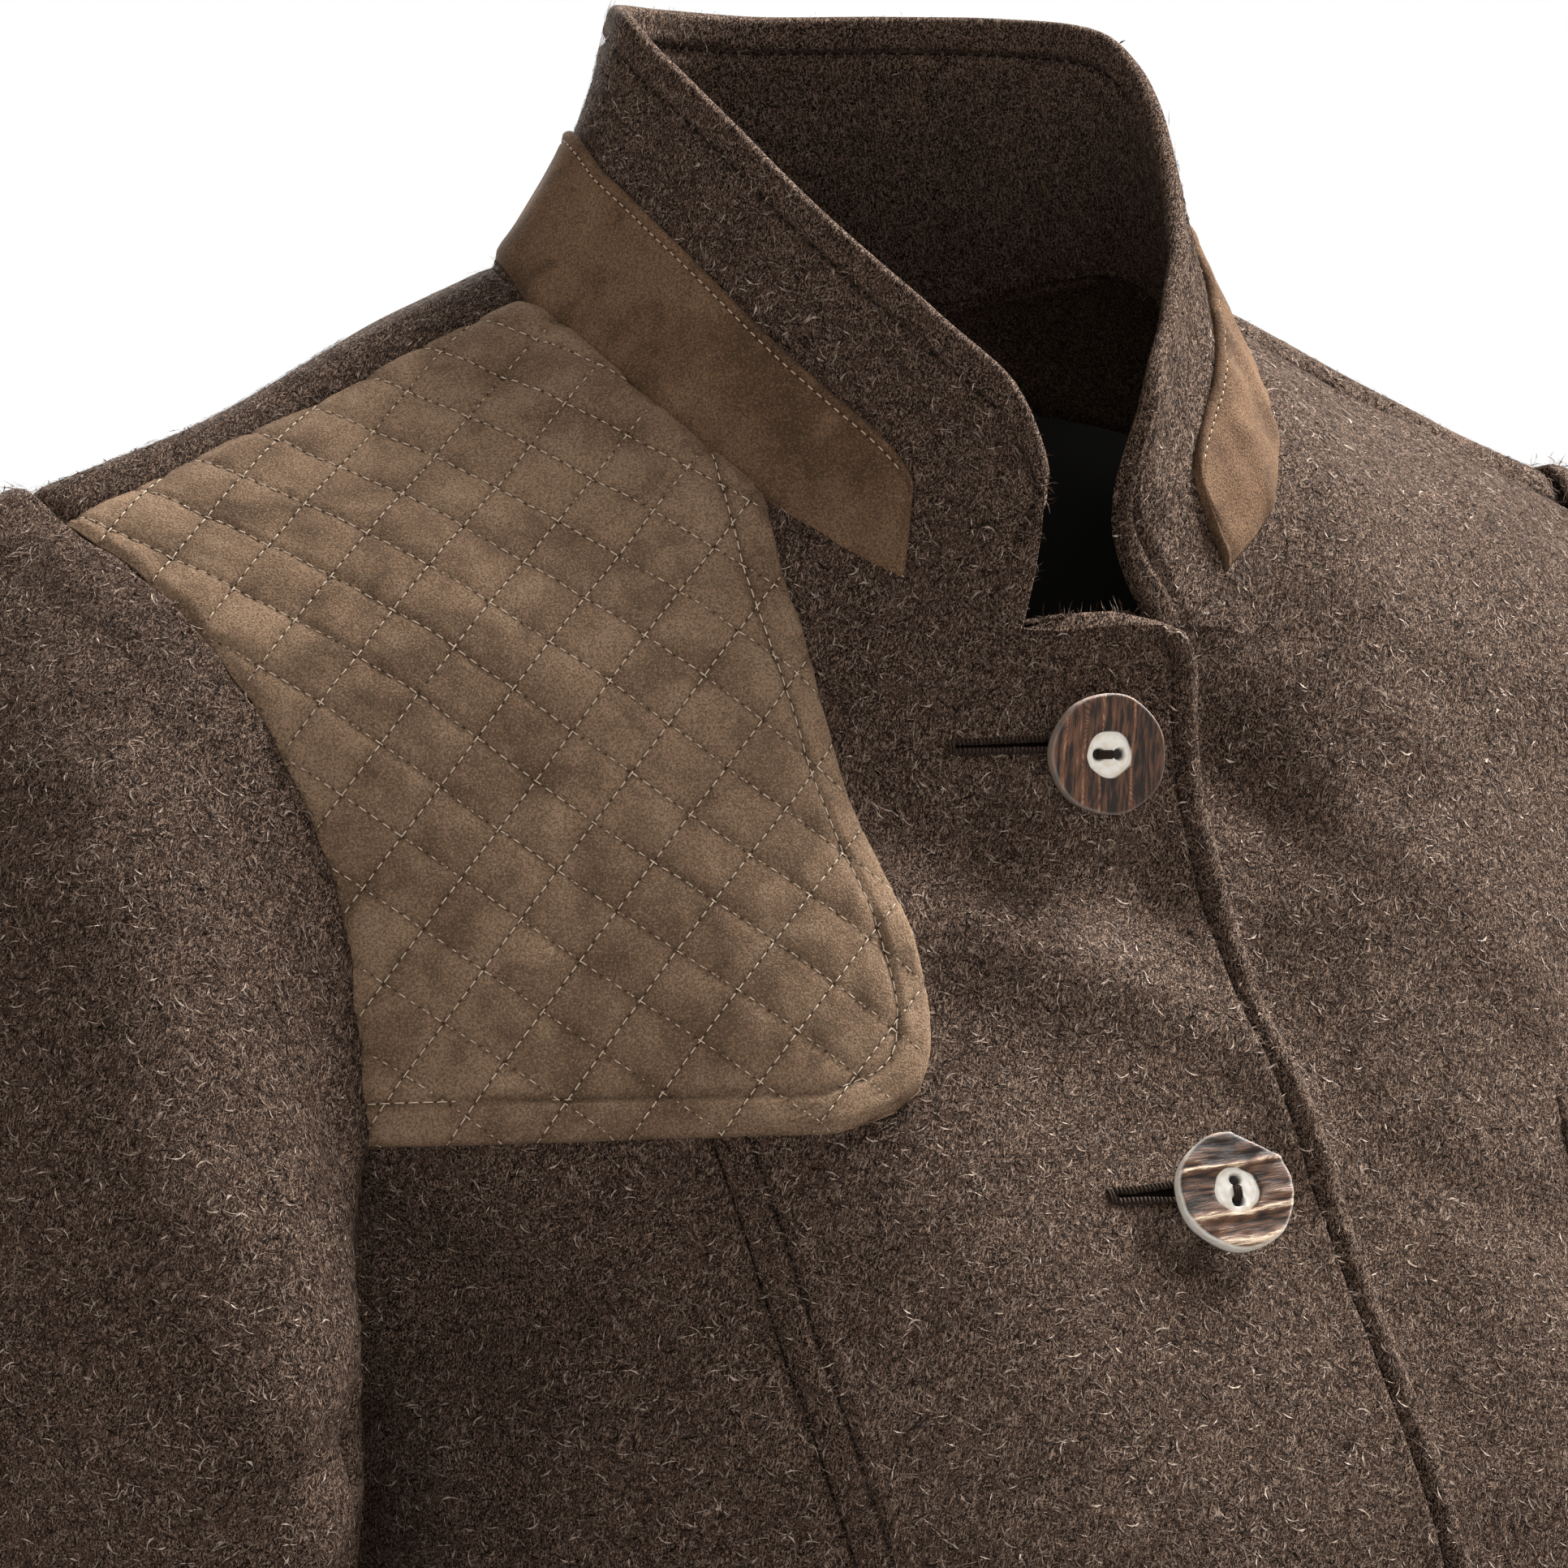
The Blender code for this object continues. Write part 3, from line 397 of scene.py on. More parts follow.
class Panel:
    """A cut piece as a grid of points with outward normals and each point's distance from its four edges."""

    def __init__(self, surface, rows, columns, centre):
        self.surface, self.rows, self.columns = surface, rows, columns
        self.points = surface(rows, columns)
        self.normals = grid_normals(self.points, centre)
        across = running_length(self.points.swapaxes(0, 1)).swapaxes(0, 1)
        along = running_length(self.points)
        self.start, self.end = across, across[:, -1:] - across
        self.bottom, self.top = along, along[-1:] - along

    @property
    def edge(self):
        """Distance from the nearest edge."""
        return np.minimum(np.minimum(self.start, self.end), np.minimum(self.bottom, self.top))

    @property
    def free_edge(self):
        """Distance from the nearest edge but the starting one, which is a collar's neck seam."""
        return np.minimum(np.minimum(self.bottom, self.top), self.end)

    @property
    def far_behind(self):
        """A point far behind the middle of the piece."""
        return self.points.mean(axis=(0, 1)) - self.normals.mean(axis=(0, 1)) * 1000

    def raised(self, relief):
        """The grid's points, each moved out along its normal."""
        return self.points + self.normals * relief[..., None]


def grid_normals(points, centre):
    """Normals of a grid of points, turned away from the centre on the whole."""
    along = np.gradient(points, axis=0)
    across = np.gradient(points, axis=1)
    normals = unit(np.cross(across, along))
    outward = points - np.array(centre, float)
    return normals if (normals * outward).sum() > 0 else -normals


def on_side(surface, side):
    """The surface on one side of the body, from rows and shares."""
    return lambda rows, shares: surface(side, rows, shares)


def between(first, last):
    """A share range that is the same on every row."""
    return lambda rows: (np.full_like(rows, first), np.full_like(rows, last))


def cell_areas(grid):
    across = np.cross(grid[1:, 1:] - grid[:-1, :-1], grid[1:, :-1] - grid[:-1, 1:])
    return np.linalg.norm(across, axis=-1) / 2


def cut_panel(surface, row_range, share_range, steps, near, centre, fine_rows=None):
    """A panel whose rows and columns keep their distances in mm from its edges.

    share_range(rows) gives each row's first and last share. steps are (along, across) in mm, near the
    distances kept from the bottom, top, start and end edge.
    """
    track = np.linspace(*row_range, TRACK_POINTS)
    low, high = share_range(track)
    lengths = running_length(surface(track, (low + high) / 2))
    fine_span = None if fine_rows is None else np.interp(fine_rows, track, lengths)
    fine_step = None if fine_rows is None else steps[0] * FINE_SHARE
    spots = places(lengths[-1], near[0], near[1], steps[0], fine_span, fine_step)
    rows = np.interp(spots, lengths, track)
    low, high = share_range(rows)
    share = np.linspace(0, 1, SHARE_POINTS)
    fine = low[:, None] + (high - low)[:, None] * share
    lengths = running_length(surface(rows[:, None], fine).swapaxes(0, 1)).swapaxes(0, 1)
    widest = lengths[:, -1].max()
    model = places(widest, near[2], near[3], steps[1])
    count_start, count_end = len(near[2]), len(near[3])
    columns = []
    for row_shares, row_lengths in zip(fine, lengths):
        total = row_lengths[-1]
        squeeze = min(1.0, MOST_SQUEEZE * total / max(near[2][-1], near[3][-1]))
        start, end = near[2][-1] * squeeze, total - near[3][-1] * squeeze
        middle = (model - near[2][-1]) / (widest - near[2][-1] - near[3][-1])
        spots = start + (end - start) * middle
        spots[:count_start] = np.array(near[2]) * squeeze
        spots[-count_end:] = total - np.array(near[3])[::-1] * squeeze
        columns.append(np.interp(spots, row_lengths, row_shares))
    columns = np.array(columns)
    rows = np.broadcast_to(rows[:, None], columns.shape)
    return Panel(surface, rows, columns, centre)


# ---------------------------------------------------------------- folds and relief

# A fold runs along a line of places in mm. A positive depth is a trough, a negative one a ridge.
Fold = namedtuple("Fold", "width depth line")
BODY_FOLDS = [Fold(*row) for row in (
    (11, 2.2, [(-58, -64, -78), (-51, -76, -106), (-25, -82, -114), (6, -83, -119)]),
    (10, -1.5, [(-40, -84, -124), (-6, -91, -137), (17, -99, -152), (25, -108, -170)]),
    (11, 0.9, [(-50, -91, -146), (-20, -98, -160), (8, -107, -178)]),
    (7, 2.8, [(-158, -59, -180), (-146, -68, -187), (-133, -80, -192)]),
    (10, 2.4, [(-152, -62, -196), (-142, -74, -214), (-140, -80, -240)]),
    (8, 1.2, [(48, -61, -66), (70, -60, -72), (92, -60, -80)]),
    (9, 1.6, [(34, -68, -94), (42, -72, -106)]),
    (11, -0.9, [(60, -74, -104), (84, -84, -126), (100, -92, -142)]),
    (10, 1.3, [(52, -112, -176), (78, -112, -186), (100, -112, -200)]),
    (10, 1.5, [(-150, -40, -240), (-138, -72, -262), (-128, -92, -290)]),
    (9, 2.6, [(150, -40, -238), (139, -70, -258), (126, -94, -284)]),
    (10, 3.0, [(-140, -40, -395), (-110, -90, -400), (-80, -118, -412)]),
    (9, -2.0, [(-138, -50, -418), (-112, -92, -424), (-86, -118, -434)]),
    (10, 3.0, [(138, -44, -388), (108, -92, -396), (84, -116, -410)]),
    (9, -2.0, [(136, -52, -412), (110, -94, -420), (88, -116, -430)]),
    (13, 3.0, [(-60, -140, -470), (-64, -150, -540), (-70, -156, -612)]),
    (14, 2.6, [(62, -138, -480), (70, -148, -550), (80, -150, -612)]),
    (16, 3.2, [(-138, 42, -470), (-150, 46, -540), (-160, 44, -612)]),
    (16, 3.2, [(136, 44, -476), (148, 48, -545), (158, 46, -612)]),
    (9, 3.0, [(-128, 52, -382), (-80, 76, -392), (-34, 82, -398)]),
    (8, -2.2, [(-124, 56, -404), (-78, 76, -412), (-40, 80, -416)]),
    (9, 3.0, [(130, 50, -376), (86, 74, -386), (40, 82, -394)]),
    (8, -2.0, [(124, 58, -398), (80, 76, -406), (44, 80, -410)]),
    (8, 2.4, [(-112, 70, -420), (-70, 80, -432), (-30, 82, -440)]),
    (12, 2.8, [(-150, 62, -150), (-128, 84, -190), (-118, 88, -240)]),
    (12, 2.8, [(150, 62, -146), (130, 84, -184), (120, 88, -234)]),
    (10, -1.8, [(-136, 78, -132), (-112, 92, -176), (-104, 94, -220)]),
    (10, -1.8, [(136, 78, -128), (113, 92, -170), (106, 94, -214)]),
    (9, 1.8, [(-60, 84, -26), (0, 92, -34), (60, 84, -24)]),
    (18, 3.0, [(-40, 104, -480), (-46, 116, -545), (-52, 120, -612)]),
    (18, 3.0, [(46, 102, -486), (52, 114, -550), (58, 118, -612)]),
)]
# On a sleeve a fold's line is drawn on the flat cloth, as (place down the sleeve, angle round it) pairs.
SLEEVE_FOLDS = [Fold(*row) for row in (
    (9, 3.0, [(0.75, 66), (0.95, 100), (1.15, 128)]),
    (8, 2.4, [(1.05, 62), (1.3, 92), (1.5, 112)]),
    (9, 3.0, [(0.7, 294), (0.95, 264), (1.1, 236)]),
    (8, 2.4, [(1.0, 300), (1.3, 274), (1.45, 250)]),
    (8, 3.4, [(2.6, 64), (2.75, 92), (2.7, 126)]),
    (7, -2.4, [(2.85, 66), (2.98, 94), (2.95, 122)]),
    (8, 3.2, [(3.1, 58), (3.2, 88), (3.25, 120)]),
    (7, -2.0, [(3.36, 62), (3.44, 90), (3.5, 114)]),
    (8, 2.8, [(3.6, 60), (3.7, 84), (3.85, 108)]),
    (9, 2.6, [(2.9, 300), (2.95, 270), (2.8, 240)]),
    (8, 2.4, [(3.3, 302), (3.35, 276), (3.5, 246)]),
    (9, 2.6, [(4.6, 70), (4.75, 110), (4.7, 150)]),
    (8, 2.2, [(5.1, 290), (5.25, 250), (5.2, 210)]),
    (9, 2.2, [(5.3, 66), (5.4, 100), (5.3, 140)]),
)]

FOLD_GAIN, FOLD_REACH, FOLD_POINTS = 1.6, 3, 12
# Soft random waves of the cloth, each as (height, size, seed).
BODY_WAVES = [(0.7, 70, 1), (0.28, 22, 2)]
SLEEVE_WAVES = [(0.9, 75, 4), (0.3, 24, 5)]
COLLAR_WAVES = [(0.7, 46, 8), (0.25, 17, 9)]
PATCH_WAVES = [(0.25, 14, 14), (0.1, 5, 15)]
STITCH_DIP, STITCH_SWELL, STITCH_HALF = 1.3, 0.4, 0.7
SWELL_AT, SWELL_HALF = 2.4, 1.6
STITCH_LINE, SEAM_STITCH_LINE = 6.5, 7.0
SEAM_SINK, SEAM_HALF, SEAM_LIP = 1.2, 2.6, 1.0
# The shoulder seam is pressed flat: it sinks by only this share.
SHOULDER_SINK = 0.4
# The sides of each kind of panel that are sewn to the next one
SEAM_SIDES = {
    "front": ("top", "end"),
    "side": ("start", "end", "top"),
    "back": ("start", "end", "top"),
    "sleeve": ("start", "end"),
}
# Distances from a seam or from a stitched edge at which the grids keep a line of points
NEAR_SEAM = [0.15, 0.3, 0.6, 1.0, 1.5, 2.3, 3.5]
NEAR_EDGE = [0, 0.12, 0.4, 0.8, 1.3, 2.1, 3.2, 4.4, 5.3, 5.9, 6.3, 6.7, 7.2, 8.0, 9.2]


def line_distance(points, line):
    """Distance of each point from a line of points."""
    nearest = np.full(points.shape[:-1], np.inf)
    for start, end in zip(line[:-1], line[1:]):
        way = end - start
        share = np.clip(((points - start) @ way) / (way @ way), 0, 1)
        nearest = np.minimum(nearest, np.linalg.norm(points - start - share[..., None] * way, axis=-1))
    return nearest


def softened(line):
    """The line with its corners rounded."""
    return table_rows(line, np.linspace(0, len(line) - 1, FOLD_POINTS))


def fold_relief(points, folds):
    relief = np.zeros(points.shape[:-1])
    for fold in folds:
        line = softened(fold.line)
        reach = FOLD_REACH * fold.width
        near = ((points > line.min(0) - reach) & (points < line.max(0) + reach)).all(axis=-1)
        if near.any():
            relief[near] -= FOLD_GAIN * fold.depth * bump(line_distance(points[near], line) / fold.width)
    return relief


def uneven(points, size, seed):
    """Soft random waves of about this size, between -1 and 1."""
    rng = np.random.default_rng(seed)
    waves = unit(rng.normal(size=(9, 3))) * 2 * math.pi / size * rng.uniform(0.6, 1.4, (9, 1))
    return np.sin(points @ waves.T + rng.uniform(0, 2 * math.pi, 9)).sum(axis=-1) / 4.5


def with_waves(relief, points, sets):
    """The relief with sets of waves added, each as (height, size, seed)."""
    for height, size, seed in sets:
        relief = relief + height * uneven(points, size, seed)
    return relief


def body_relief(points):
    return with_waves(fold_relief(points, BODY_FOLDS), points, BODY_WAVES)


def rolled(distance, radius):
    """How far a rounded edge drops, at a distance from it."""
    inside = np.clip(radius - distance, 0, radius)
    return np.sqrt(radius**2 - inside**2) - radius


def groove(distance, at):
    """The dip of a stitched line and the cloth that swells beside it."""
    dip = -STITCH_DIP * bump((distance - at) / STITCH_HALF)
    inner, outer = (distance - at - SWELL_AT) / SWELL_HALF, (distance - at + SWELL_AT) / SWELL_HALF
    return dip + STITCH_SWELL * (bump(inner) + bump(outer))


def seam_relief(panel, sides):
    """Rounds the panel's edges, with a sunken seam at each side named."""
    relief = rolled(panel.edge, WOOL_THICKNESS / 2)
    for side in sides:
        share = SHOULDER_SINK if side == "top" else 1.0
        relief -= SEAM_SINK * share * bump(getattr(panel, side) / SEAM_HALF)
    return relief


# ---------------------------------------------------------------- meshes


def new_mesh(name, points, faces):
    """A smooth mesh from points in mm and faces that all have the same number of corners."""
    mesh = bpy.data.meshes.new(name)
    mesh.vertices.add(len(points))
    mesh.vertices.foreach_set("co", (np.asarray(points, float) * MM).ravel())
    corners = faces.shape[1]
    mesh.loops.add(faces.size)
    mesh.loops.foreach_set("vertex_index", faces.ravel().astype(np.int32))
    mesh.polygons.add(len(faces))
    mesh.polygons.foreach_set("loop_start", np.arange(0, faces.size, corners, dtype=np.int32))
    mesh.polygons.foreach_set("use_smooth", np.ones(len(faces), bool))
    mesh.update(calc_edges=True)
    return mesh


def add_piece(name, mesh, material):
    obj = bpy.data.objects.new(name, mesh)
    mesh.materials.append(material)
    bpy.context.scene.collection.objects.link(obj)
    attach(obj, "root")
    return obj


def add_surface(name, points, faces, slot, material):
    """A piece from a grid or a list of points, with its faces."""
    return add_piece(name, new_mesh(name, points.reshape(-1, 3), faces), material)


def give(mesh, name, values):
    """Stores one number for each vertex, for the materials to read."""
    mesh.attributes.new(name, "FLOAT", "POINT").data.foreach_set("value", np.ravel(values).astype(np.float32))


def grid_faces(rows, columns):
    index = np.arange(rows * columns).reshape(rows, columns)
    corners = [index[:-1, :-1], index[:-1, 1:], index[1:, 1:], index[1:, :-1]]
    return np.stack(corners, axis=-1).reshape(-1, 4)


def faces_out(points, faces, normals):
    """The faces, turned if their middle one faces against the normals."""
    corners = points[faces]
    across = np.cross(corners[:, 2] - corners[:, 0], corners[:, 3] - corners[:, 1])
    agree = (across * normals[faces[:, 0]]).sum()
    return faces if agree > 0 else faces[:, ::-1]


def border(rows, columns):
    """Indices round the edge of a grid, and those of the points just inside them."""
    index = np.arange(rows * columns).reshape(rows, columns)
    edge = np.concatenate([index[0, :-1], index[:-1, -1], index[-1, :0:-1], index[:0:-1, 0]])
    inside_row = np.clip(edge // columns, 1, rows - 2)
    inside_column = np.clip(edge % columns, 1, columns - 2)
    return edge, inside_row * columns + inside_column


TURNED_IN, NARROW_TURNED_IN = 3.0, 1.0
# An edge point's distance from its own side is less than this.
ON_SIDE = 0.01


def open_shell(panel, relief, turned_in=TURNED_IN, seams=()):
    """Points and faces of cloth with a rounded edge that turns in at the back.

    At the sides named in seams, a lip reaches under the next piece, so that nothing shows between them.
    """
    rows, columns = panel.points.shape[:2]
    points = panel.raised(relief).reshape(-1, 3)
    normals = panel.normals.reshape(-1, 3)
    base = panel.points.reshape(-1, 3)
    edge, inside = border(rows, columns)
    inward = base[inside] - base[edge]
    inward = unit(inward - normals[edge] * (inward * normals[edge]).sum(-1, keepdims=True))
    radius = WOOL_THICKNESS / 2
    cells = grid_faces(rows, columns)
    faces = [faces_out(points, cells, normals)]
    flip = (faces[0][0] != cells[0]).any()
    drop = (relief.reshape(-1)[edge] + radius)[:, None]
    on_seam = np.zeros(len(edge), bool)
    for side in seams:
        on_seam |= getattr(panel, side).reshape(-1)[edge] < ON_SIDE
    lip = np.where(on_seam, -radius - SEAM_LIP, 0.0)[:, None]
    loops = [edge]
    total = [points]
    count = len(points)
    # Loops of points round the edge: how far it has turned, in degrees, and how much further in it lies.
    for turn, further in ((40, 0), (80, 0), (90, lip), (90, turned_in)):
        angle = math.radians(turn)
        loop = base[edge] + inward * (radius * (1 - math.cos(angle)) + further)
        loop = loop + normals[edge] * (drop - radius - radius * math.sin(angle))
        total.append(loop)
        loops.append(count + np.arange(len(loop)))
        count += len(loop)
    for outer, inner in zip(loops[:-1], loops[1:]):
        band = np.stack([outer, inner, np.roll(inner, -1), np.roll(outer, -1)], axis=-1)
        faces.append(band[:, ::-1] if flip else band)
    return np.concatenate(total), np.concatenate(faces)


def closed_shell(outer, inner, normals):
    """Points and faces of a solid sheet from two grids that share their edge."""
    rows, columns = outer.shape[:2]
    edge, _ = border(rows, columns)
    points = outer.reshape(-1, 3)
    front = faces_out(points, grid_faces(rows, columns), normals.reshape(-1, 3))
    remap = np.arange(rows * columns)
    middle = np.setdiff1d(remap, edge)
    remap[middle] = rows * columns + np.arange(len(middle))
    back = remap[front][:, ::-1]
    return np.concatenate([points, inner.reshape(-1, 3)[middle]]), np.concatenate([front, back])


# ---------------------------------------------------------------- node helpers


def add_node(tree, kind, inputs=None, **settings):
    """A shader node with its settings and its inputs, given as numbers, colours or other nodes' outputs."""
    made = tree.nodes.new(kind)
    for key, value in settings.items():
        setattr(made, key, value)
    for key, value in (inputs or {}).items():
        if isinstance(value, bpy.types.NodeSocket):
            tree.links.new(value, made.inputs[key])
        else:
            made.inputs[key].default_value = value
    return made


def srgb(*colour):
    """A linear colour from the usual 0 to 255 one."""
    linear = [(c / 255 + 0.055) ** 2.4 / 1.055**2.4 if c > 10 else c / 255 / 12.92 for c in colour]
    return (*linear, 1.0)


def new_material(name, **finish):
    """A node material. finish gives values of the shader's own sockets."""
    made = bpy.data.materials.new(name)
    made.use_nodes = True
    shader = made.node_tree.nodes["Principled BSDF"]
    for key, value in finish.items():
        shader.inputs[key.replace("_", " ")].default_value = value
    return made, made.node_tree, shader


def place_of(tree):
    return add_node(tree, "ShaderNodeTexCoord").outputs["Object"]


def noise(tree, place, size, detail=2.0, distortion=0.0, roughness=0.5):
    """Noise whose features are about this many mm."""
    inputs = {
        "Vector": place,
        "Scale": 1 / (size * MM),
        "Detail": detail,
        "Distortion": distortion,
        "Roughness": roughness,
    }
    return add_node(tree, "ShaderNodeTexNoise", inputs).outputs["Fac"]


def times(tree, first, second):
    return add_node(tree, "ShaderNodeMath", {0: first, 1: second}, operation="MULTIPLY").outputs[0]


def plus(tree, first, second):
    return add_node(tree, "ShaderNodeMath", {0: first, 1: second}, operation="ADD").outputs[0]


def remap(tree, value, low, high, to_low=0.0, to_high=1.0):
    inputs = {"Value": value, "From Min": low, "From Max": high, "To Min": to_low, "To Max": to_high}
    return add_node(tree, "ShaderNodeMapRange", inputs, interpolation_type="SMOOTHSTEP").outputs[0]


def mix_colour(tree, share, first, second, blend_type="MIX"):
    inputs = {0: share, 6: first, 7: second}
    return add_node(tree, "ShaderNodeMix", inputs, data_type="RGBA", blend_type=blend_type).outputs[2]


def paint(tree, shader, colour):
    tree.links.new(colour, shader.inputs["Base Color"])


def attribute(tree, name):
    return add_node(tree, "ShaderNodeAttribute", attribute_name=name).outputs["Fac"]


def bumped(tree, shader, height, depth):
    """Lets the height, from 0 to 1, dent the surface by this many mm."""
    bump_node = add_node(tree, "ShaderNodeBump", {"Height": height, "Strength": 1.0, "Distance": depth * MM})
    tree.links.new(bump_node.outputs[0], shader.inputs["Normal"])


# ---------------------------------------------------------------- materials


def strands(tree, place, width, stretch, turn):
    """Noise drawn out into short strands this many mm wide, at a turn in degrees."""
    inputs = {
        "Vector": place,
        "Rotation": (0.0, math.radians(turn), math.radians(35.0)),
        "Scale": (1.0, 1.0, stretch),
    }
    turned = add_node(tree, "ShaderNodeMapping", inputs, vector_type="TEXTURE").outputs[0]
    return noise(tree, turned, width, detail=1.5, distortion=0.7)


def wool_material():
    made, tree, shader = new_material("loden", Roughness=0.95, Specular_IOR_Level=0.05)
    dark, middle, pale, worn = srgb(20, 12, 9), srgb(57, 41, 33), srgb(144, 122, 107), srgb(150, 132, 122)
    place = place_of(tree)
    clumps = noise(tree, place, 3.0, detail=3, distortion=0.4, roughness=0.65)
    pits = noise(tree, place, 1.1, detail=3, roughness=0.7)
    wide = noise(tree, place, 24, detail=3)
    body = plus(tree, times(tree, clumps, 0.5), times(tree, pits, 0.5))
    colour = mix_colour(tree, remap(tree, body, 0.42, 0.62), dark, middle)
    colour = mix_colour(tree, remap(tree, wide, 0.35, 0.68, 0.0, 0.45), colour, worn, "MULTIPLY")
    height = times(tree, body, 0.8)
    for width, stretch, turn, low, high, strength in (
        (0.32, 5.0, 38, 0.54, 0.64, 0.9),
        (0.26, 6.0, -28, 0.55, 0.65, 0.85),
        (0.36, 4.0, 80, 0.56, 0.66, 0.75),
    ):
        share = remap(tree, strands(tree, place, width, stretch, turn), low, high, 0.0, strength)
        colour = mix_colour(tree, share, colour, pale)
        height = plus(tree, height, times(tree, share, 0.4))
    paint(tree, shader, colour)
    bumped(tree, shader, height, 0.6)
    return made


def fibre_material():
    made, tree, shader = new_material("loden_fibre", Roughness=0.8, Specular_IOR_Level=0.05)
    ramp = add_node(tree, "ShaderNodeValToRGB", {"Fac": attribute(tree, "tone")})
    stops = ramp.color_ramp.elements
    stops[0].color, stops[1].color = srgb(24, 17, 13), srgb(178, 161, 148)
    stops[1].position = 1.0
    middle = stops.new(0.55)
    middle.color = srgb(82, 65, 55)
    paint(tree, shader, ramp.outputs[0])
    return made


def suede_material(name, light, dark, stroke, pressed_and_shade_attribute=None):
    """Brushed suede. Its nap is darker where it is pressed, and painted crease shade darkens it along the seams
    that the mesh's attribute names.
    """
    made, tree, shader = new_material(name, Roughness=0.95, Specular_IOR_Level=0.08)
    dark_nap, pit, pressed_nap_and_crease_shade = (srgb(*(share * c for c in dark)) for share in (0.72, 0.68, 0.35))
    bright = srgb(*(1.12 * c for c in stroke))
    place = place_of(tree)
    clouds = noise(tree, place, 30, detail=2.5, roughness=0.45)
    strokes = noise(tree, place, 9, detail=2.5, distortion=0.25, roughness=0.5)
    grain = noise(tree, place, 0.42, detail=2.0, roughness=0.7)
    colour = mix_colour(tree, remap(tree, clouds, 0.35, 0.65), srgb(*dark), srgb(*light))
    colour = mix_colour(tree, remap(tree, strokes, 0.5, 0.7, 0.0, 0.5), colour, srgb(*stroke))
    colour = mix_colour(tree, remap(tree, strokes, 0.48, 0.34, 0.0, 0.5), colour, dark_nap)
    colour = mix_colour(tree, remap(tree, grain, 0.36, 0.56, 0.7, 0.0), colour, pit)
    colour = mix_colour(tree, remap(tree, grain, 0.52, 0.68, 0.0, 0.4), colour, bright)
    # Darker along the named seams: partly pressed nap, partly painted crease shade.
    if pressed_and_shade_attribute:
        colour = mix_colour(tree, attribute(tree, pressed_and_shade_attribute), colour, pressed_nap_and_crease_shade)
    paint(tree, shader, colour)
    bumped(tree, shader, plus(tree, times(tree, grain, 0.6), times(tree, strokes, 0.3)), 0.45)
    return made


def lining_material():
    made, tree, shader = new_material("satin_lining", Roughness=0.5)
    tone = remap(tree, noise(tree, place_of(tree), 40, detail=2), 0.3, 0.7)
    paint(tree, shader, mix_colour(tree, tone, srgb(31, 31, 29), srgb(40, 39, 37)))
    return made


def thread_material(name, colour, paler, shine=0.15):
    made, tree, shader = new_material(name, Roughness=0.9, Specular_IOR_Level=shine)
    twist = noise(tree, place_of(tree), 0.5, detail=1)
    paint(tree, shader, mix_colour(tree, twist, srgb(*colour), srgb(*paler)))
    bumped(tree, shader, twist, 0.05)
    return made


def horn_material(name, ridges, grooves, fleck):
    """Stag horn: bark ridges and grooves by the mesh's own heights, pale pith and cut sides, and painted shade
    in the thread holes.
    """
    made, tree, shader = new_material(name, Roughness=0.55)
    ends = {0: attribute(tree, "along"), 1: attribute(tree, "across")}
    lengthwise = add_node(tree, "ShaderNodeCombineXYZ", ends)
    grain = noise(tree, lengthwise.outputs[0], 0.55, detail=4, distortion=0.2, roughness=0.75)
    mottled = plus(tree, times(tree, attribute(tree, "depth"), 0.6), grain)
    colour = mix_colour(tree, remap(tree, mottled, 0.6, 0.9), srgb(*grooves), srgb(*fleck))
    colour = mix_colour(tree, remap(tree, mottled, 0.92, 1.1), colour, srgb(*ridges))
    pale = noise(tree, place_of(tree), 1.6, detail=3)
    ivory = mix_colour(tree, remap(tree, pale, 0.4, 0.75), srgb(252, 249, 243), srgb(240, 229, 208))
    colour = mix_colour(tree, attribute(tree, "bark"), ivory, colour)
    # Painted shade: the thread holes are near black.
    colour = mix_colour(tree, attribute(tree, "hole"), colour, srgb(12, 9, 7))
    paint(tree, shader, colour)
    bumped(tree, shader, times(tree, grain, attribute(tree, "bark")), 0.35)
    return made


WOOL = wool_material()
WOOL_FIBRE = fibre_material()
# The quilted suede's pressed attribute darkens it: pressed nap and painted crease shade.
QUILTED_SUEDE = suede_material("quilted_suede", (137, 113, 92), (111, 90, 72), (151, 128, 106), "pressed")
COLLAR_SUEDE = suede_material("collar_suede", (113, 88, 68), (86, 66, 51), (126, 101, 79))
LINING = lining_material()
WOOL_THREAD = thread_material("wool_thread", (20, 15, 12), (34, 27, 22))
PATCH_THREAD = thread_material("patch_thread", (200, 178, 156), (226, 206, 186))
SUEDE_THREAD = thread_material("suede_thread", (176, 152, 130), (204, 182, 160))
# Near-black finish of the buttonhole slits: painted shade of their gap.
SLIT_PAINTED_SHADE = thread_material("buttonhole_slit", (6, 4, 3), (9, 7, 6), 0.0)
# Dark finish of the needle holes between stitches: painted shade.
NEEDLE_HOLE_SHADE = thread_material("needle_hole", (58, 44, 34), (70, 54, 43), 0.0)
HOLE_THREAD = thread_material("buttonhole_thread", (34, 25, 20), (58, 44, 36))

# ---------------------------------------------------------------- the wool panels

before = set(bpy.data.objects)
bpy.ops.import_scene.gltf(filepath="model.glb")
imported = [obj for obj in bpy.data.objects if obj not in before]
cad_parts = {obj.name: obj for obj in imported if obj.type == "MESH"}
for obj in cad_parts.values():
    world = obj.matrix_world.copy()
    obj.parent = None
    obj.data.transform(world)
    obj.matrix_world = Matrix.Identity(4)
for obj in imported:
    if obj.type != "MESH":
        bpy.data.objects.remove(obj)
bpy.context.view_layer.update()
BODY_CENTRE = (0, 0, -300)
# The part of the fronts and of the right sleeve that the photograph shows has finer grids.
VIEW_LOW_ROW, VIEW_LOW_DOWN = 5.6, 1.9
COARSE_STEP, FRONT_STEP, SIDE_STEP, SLEEVE_STEP, FAR_SLEEVE_STEP = 5.6, 2.7, 3.2, 3.2, 5.0
NECK_ROW = 16.2
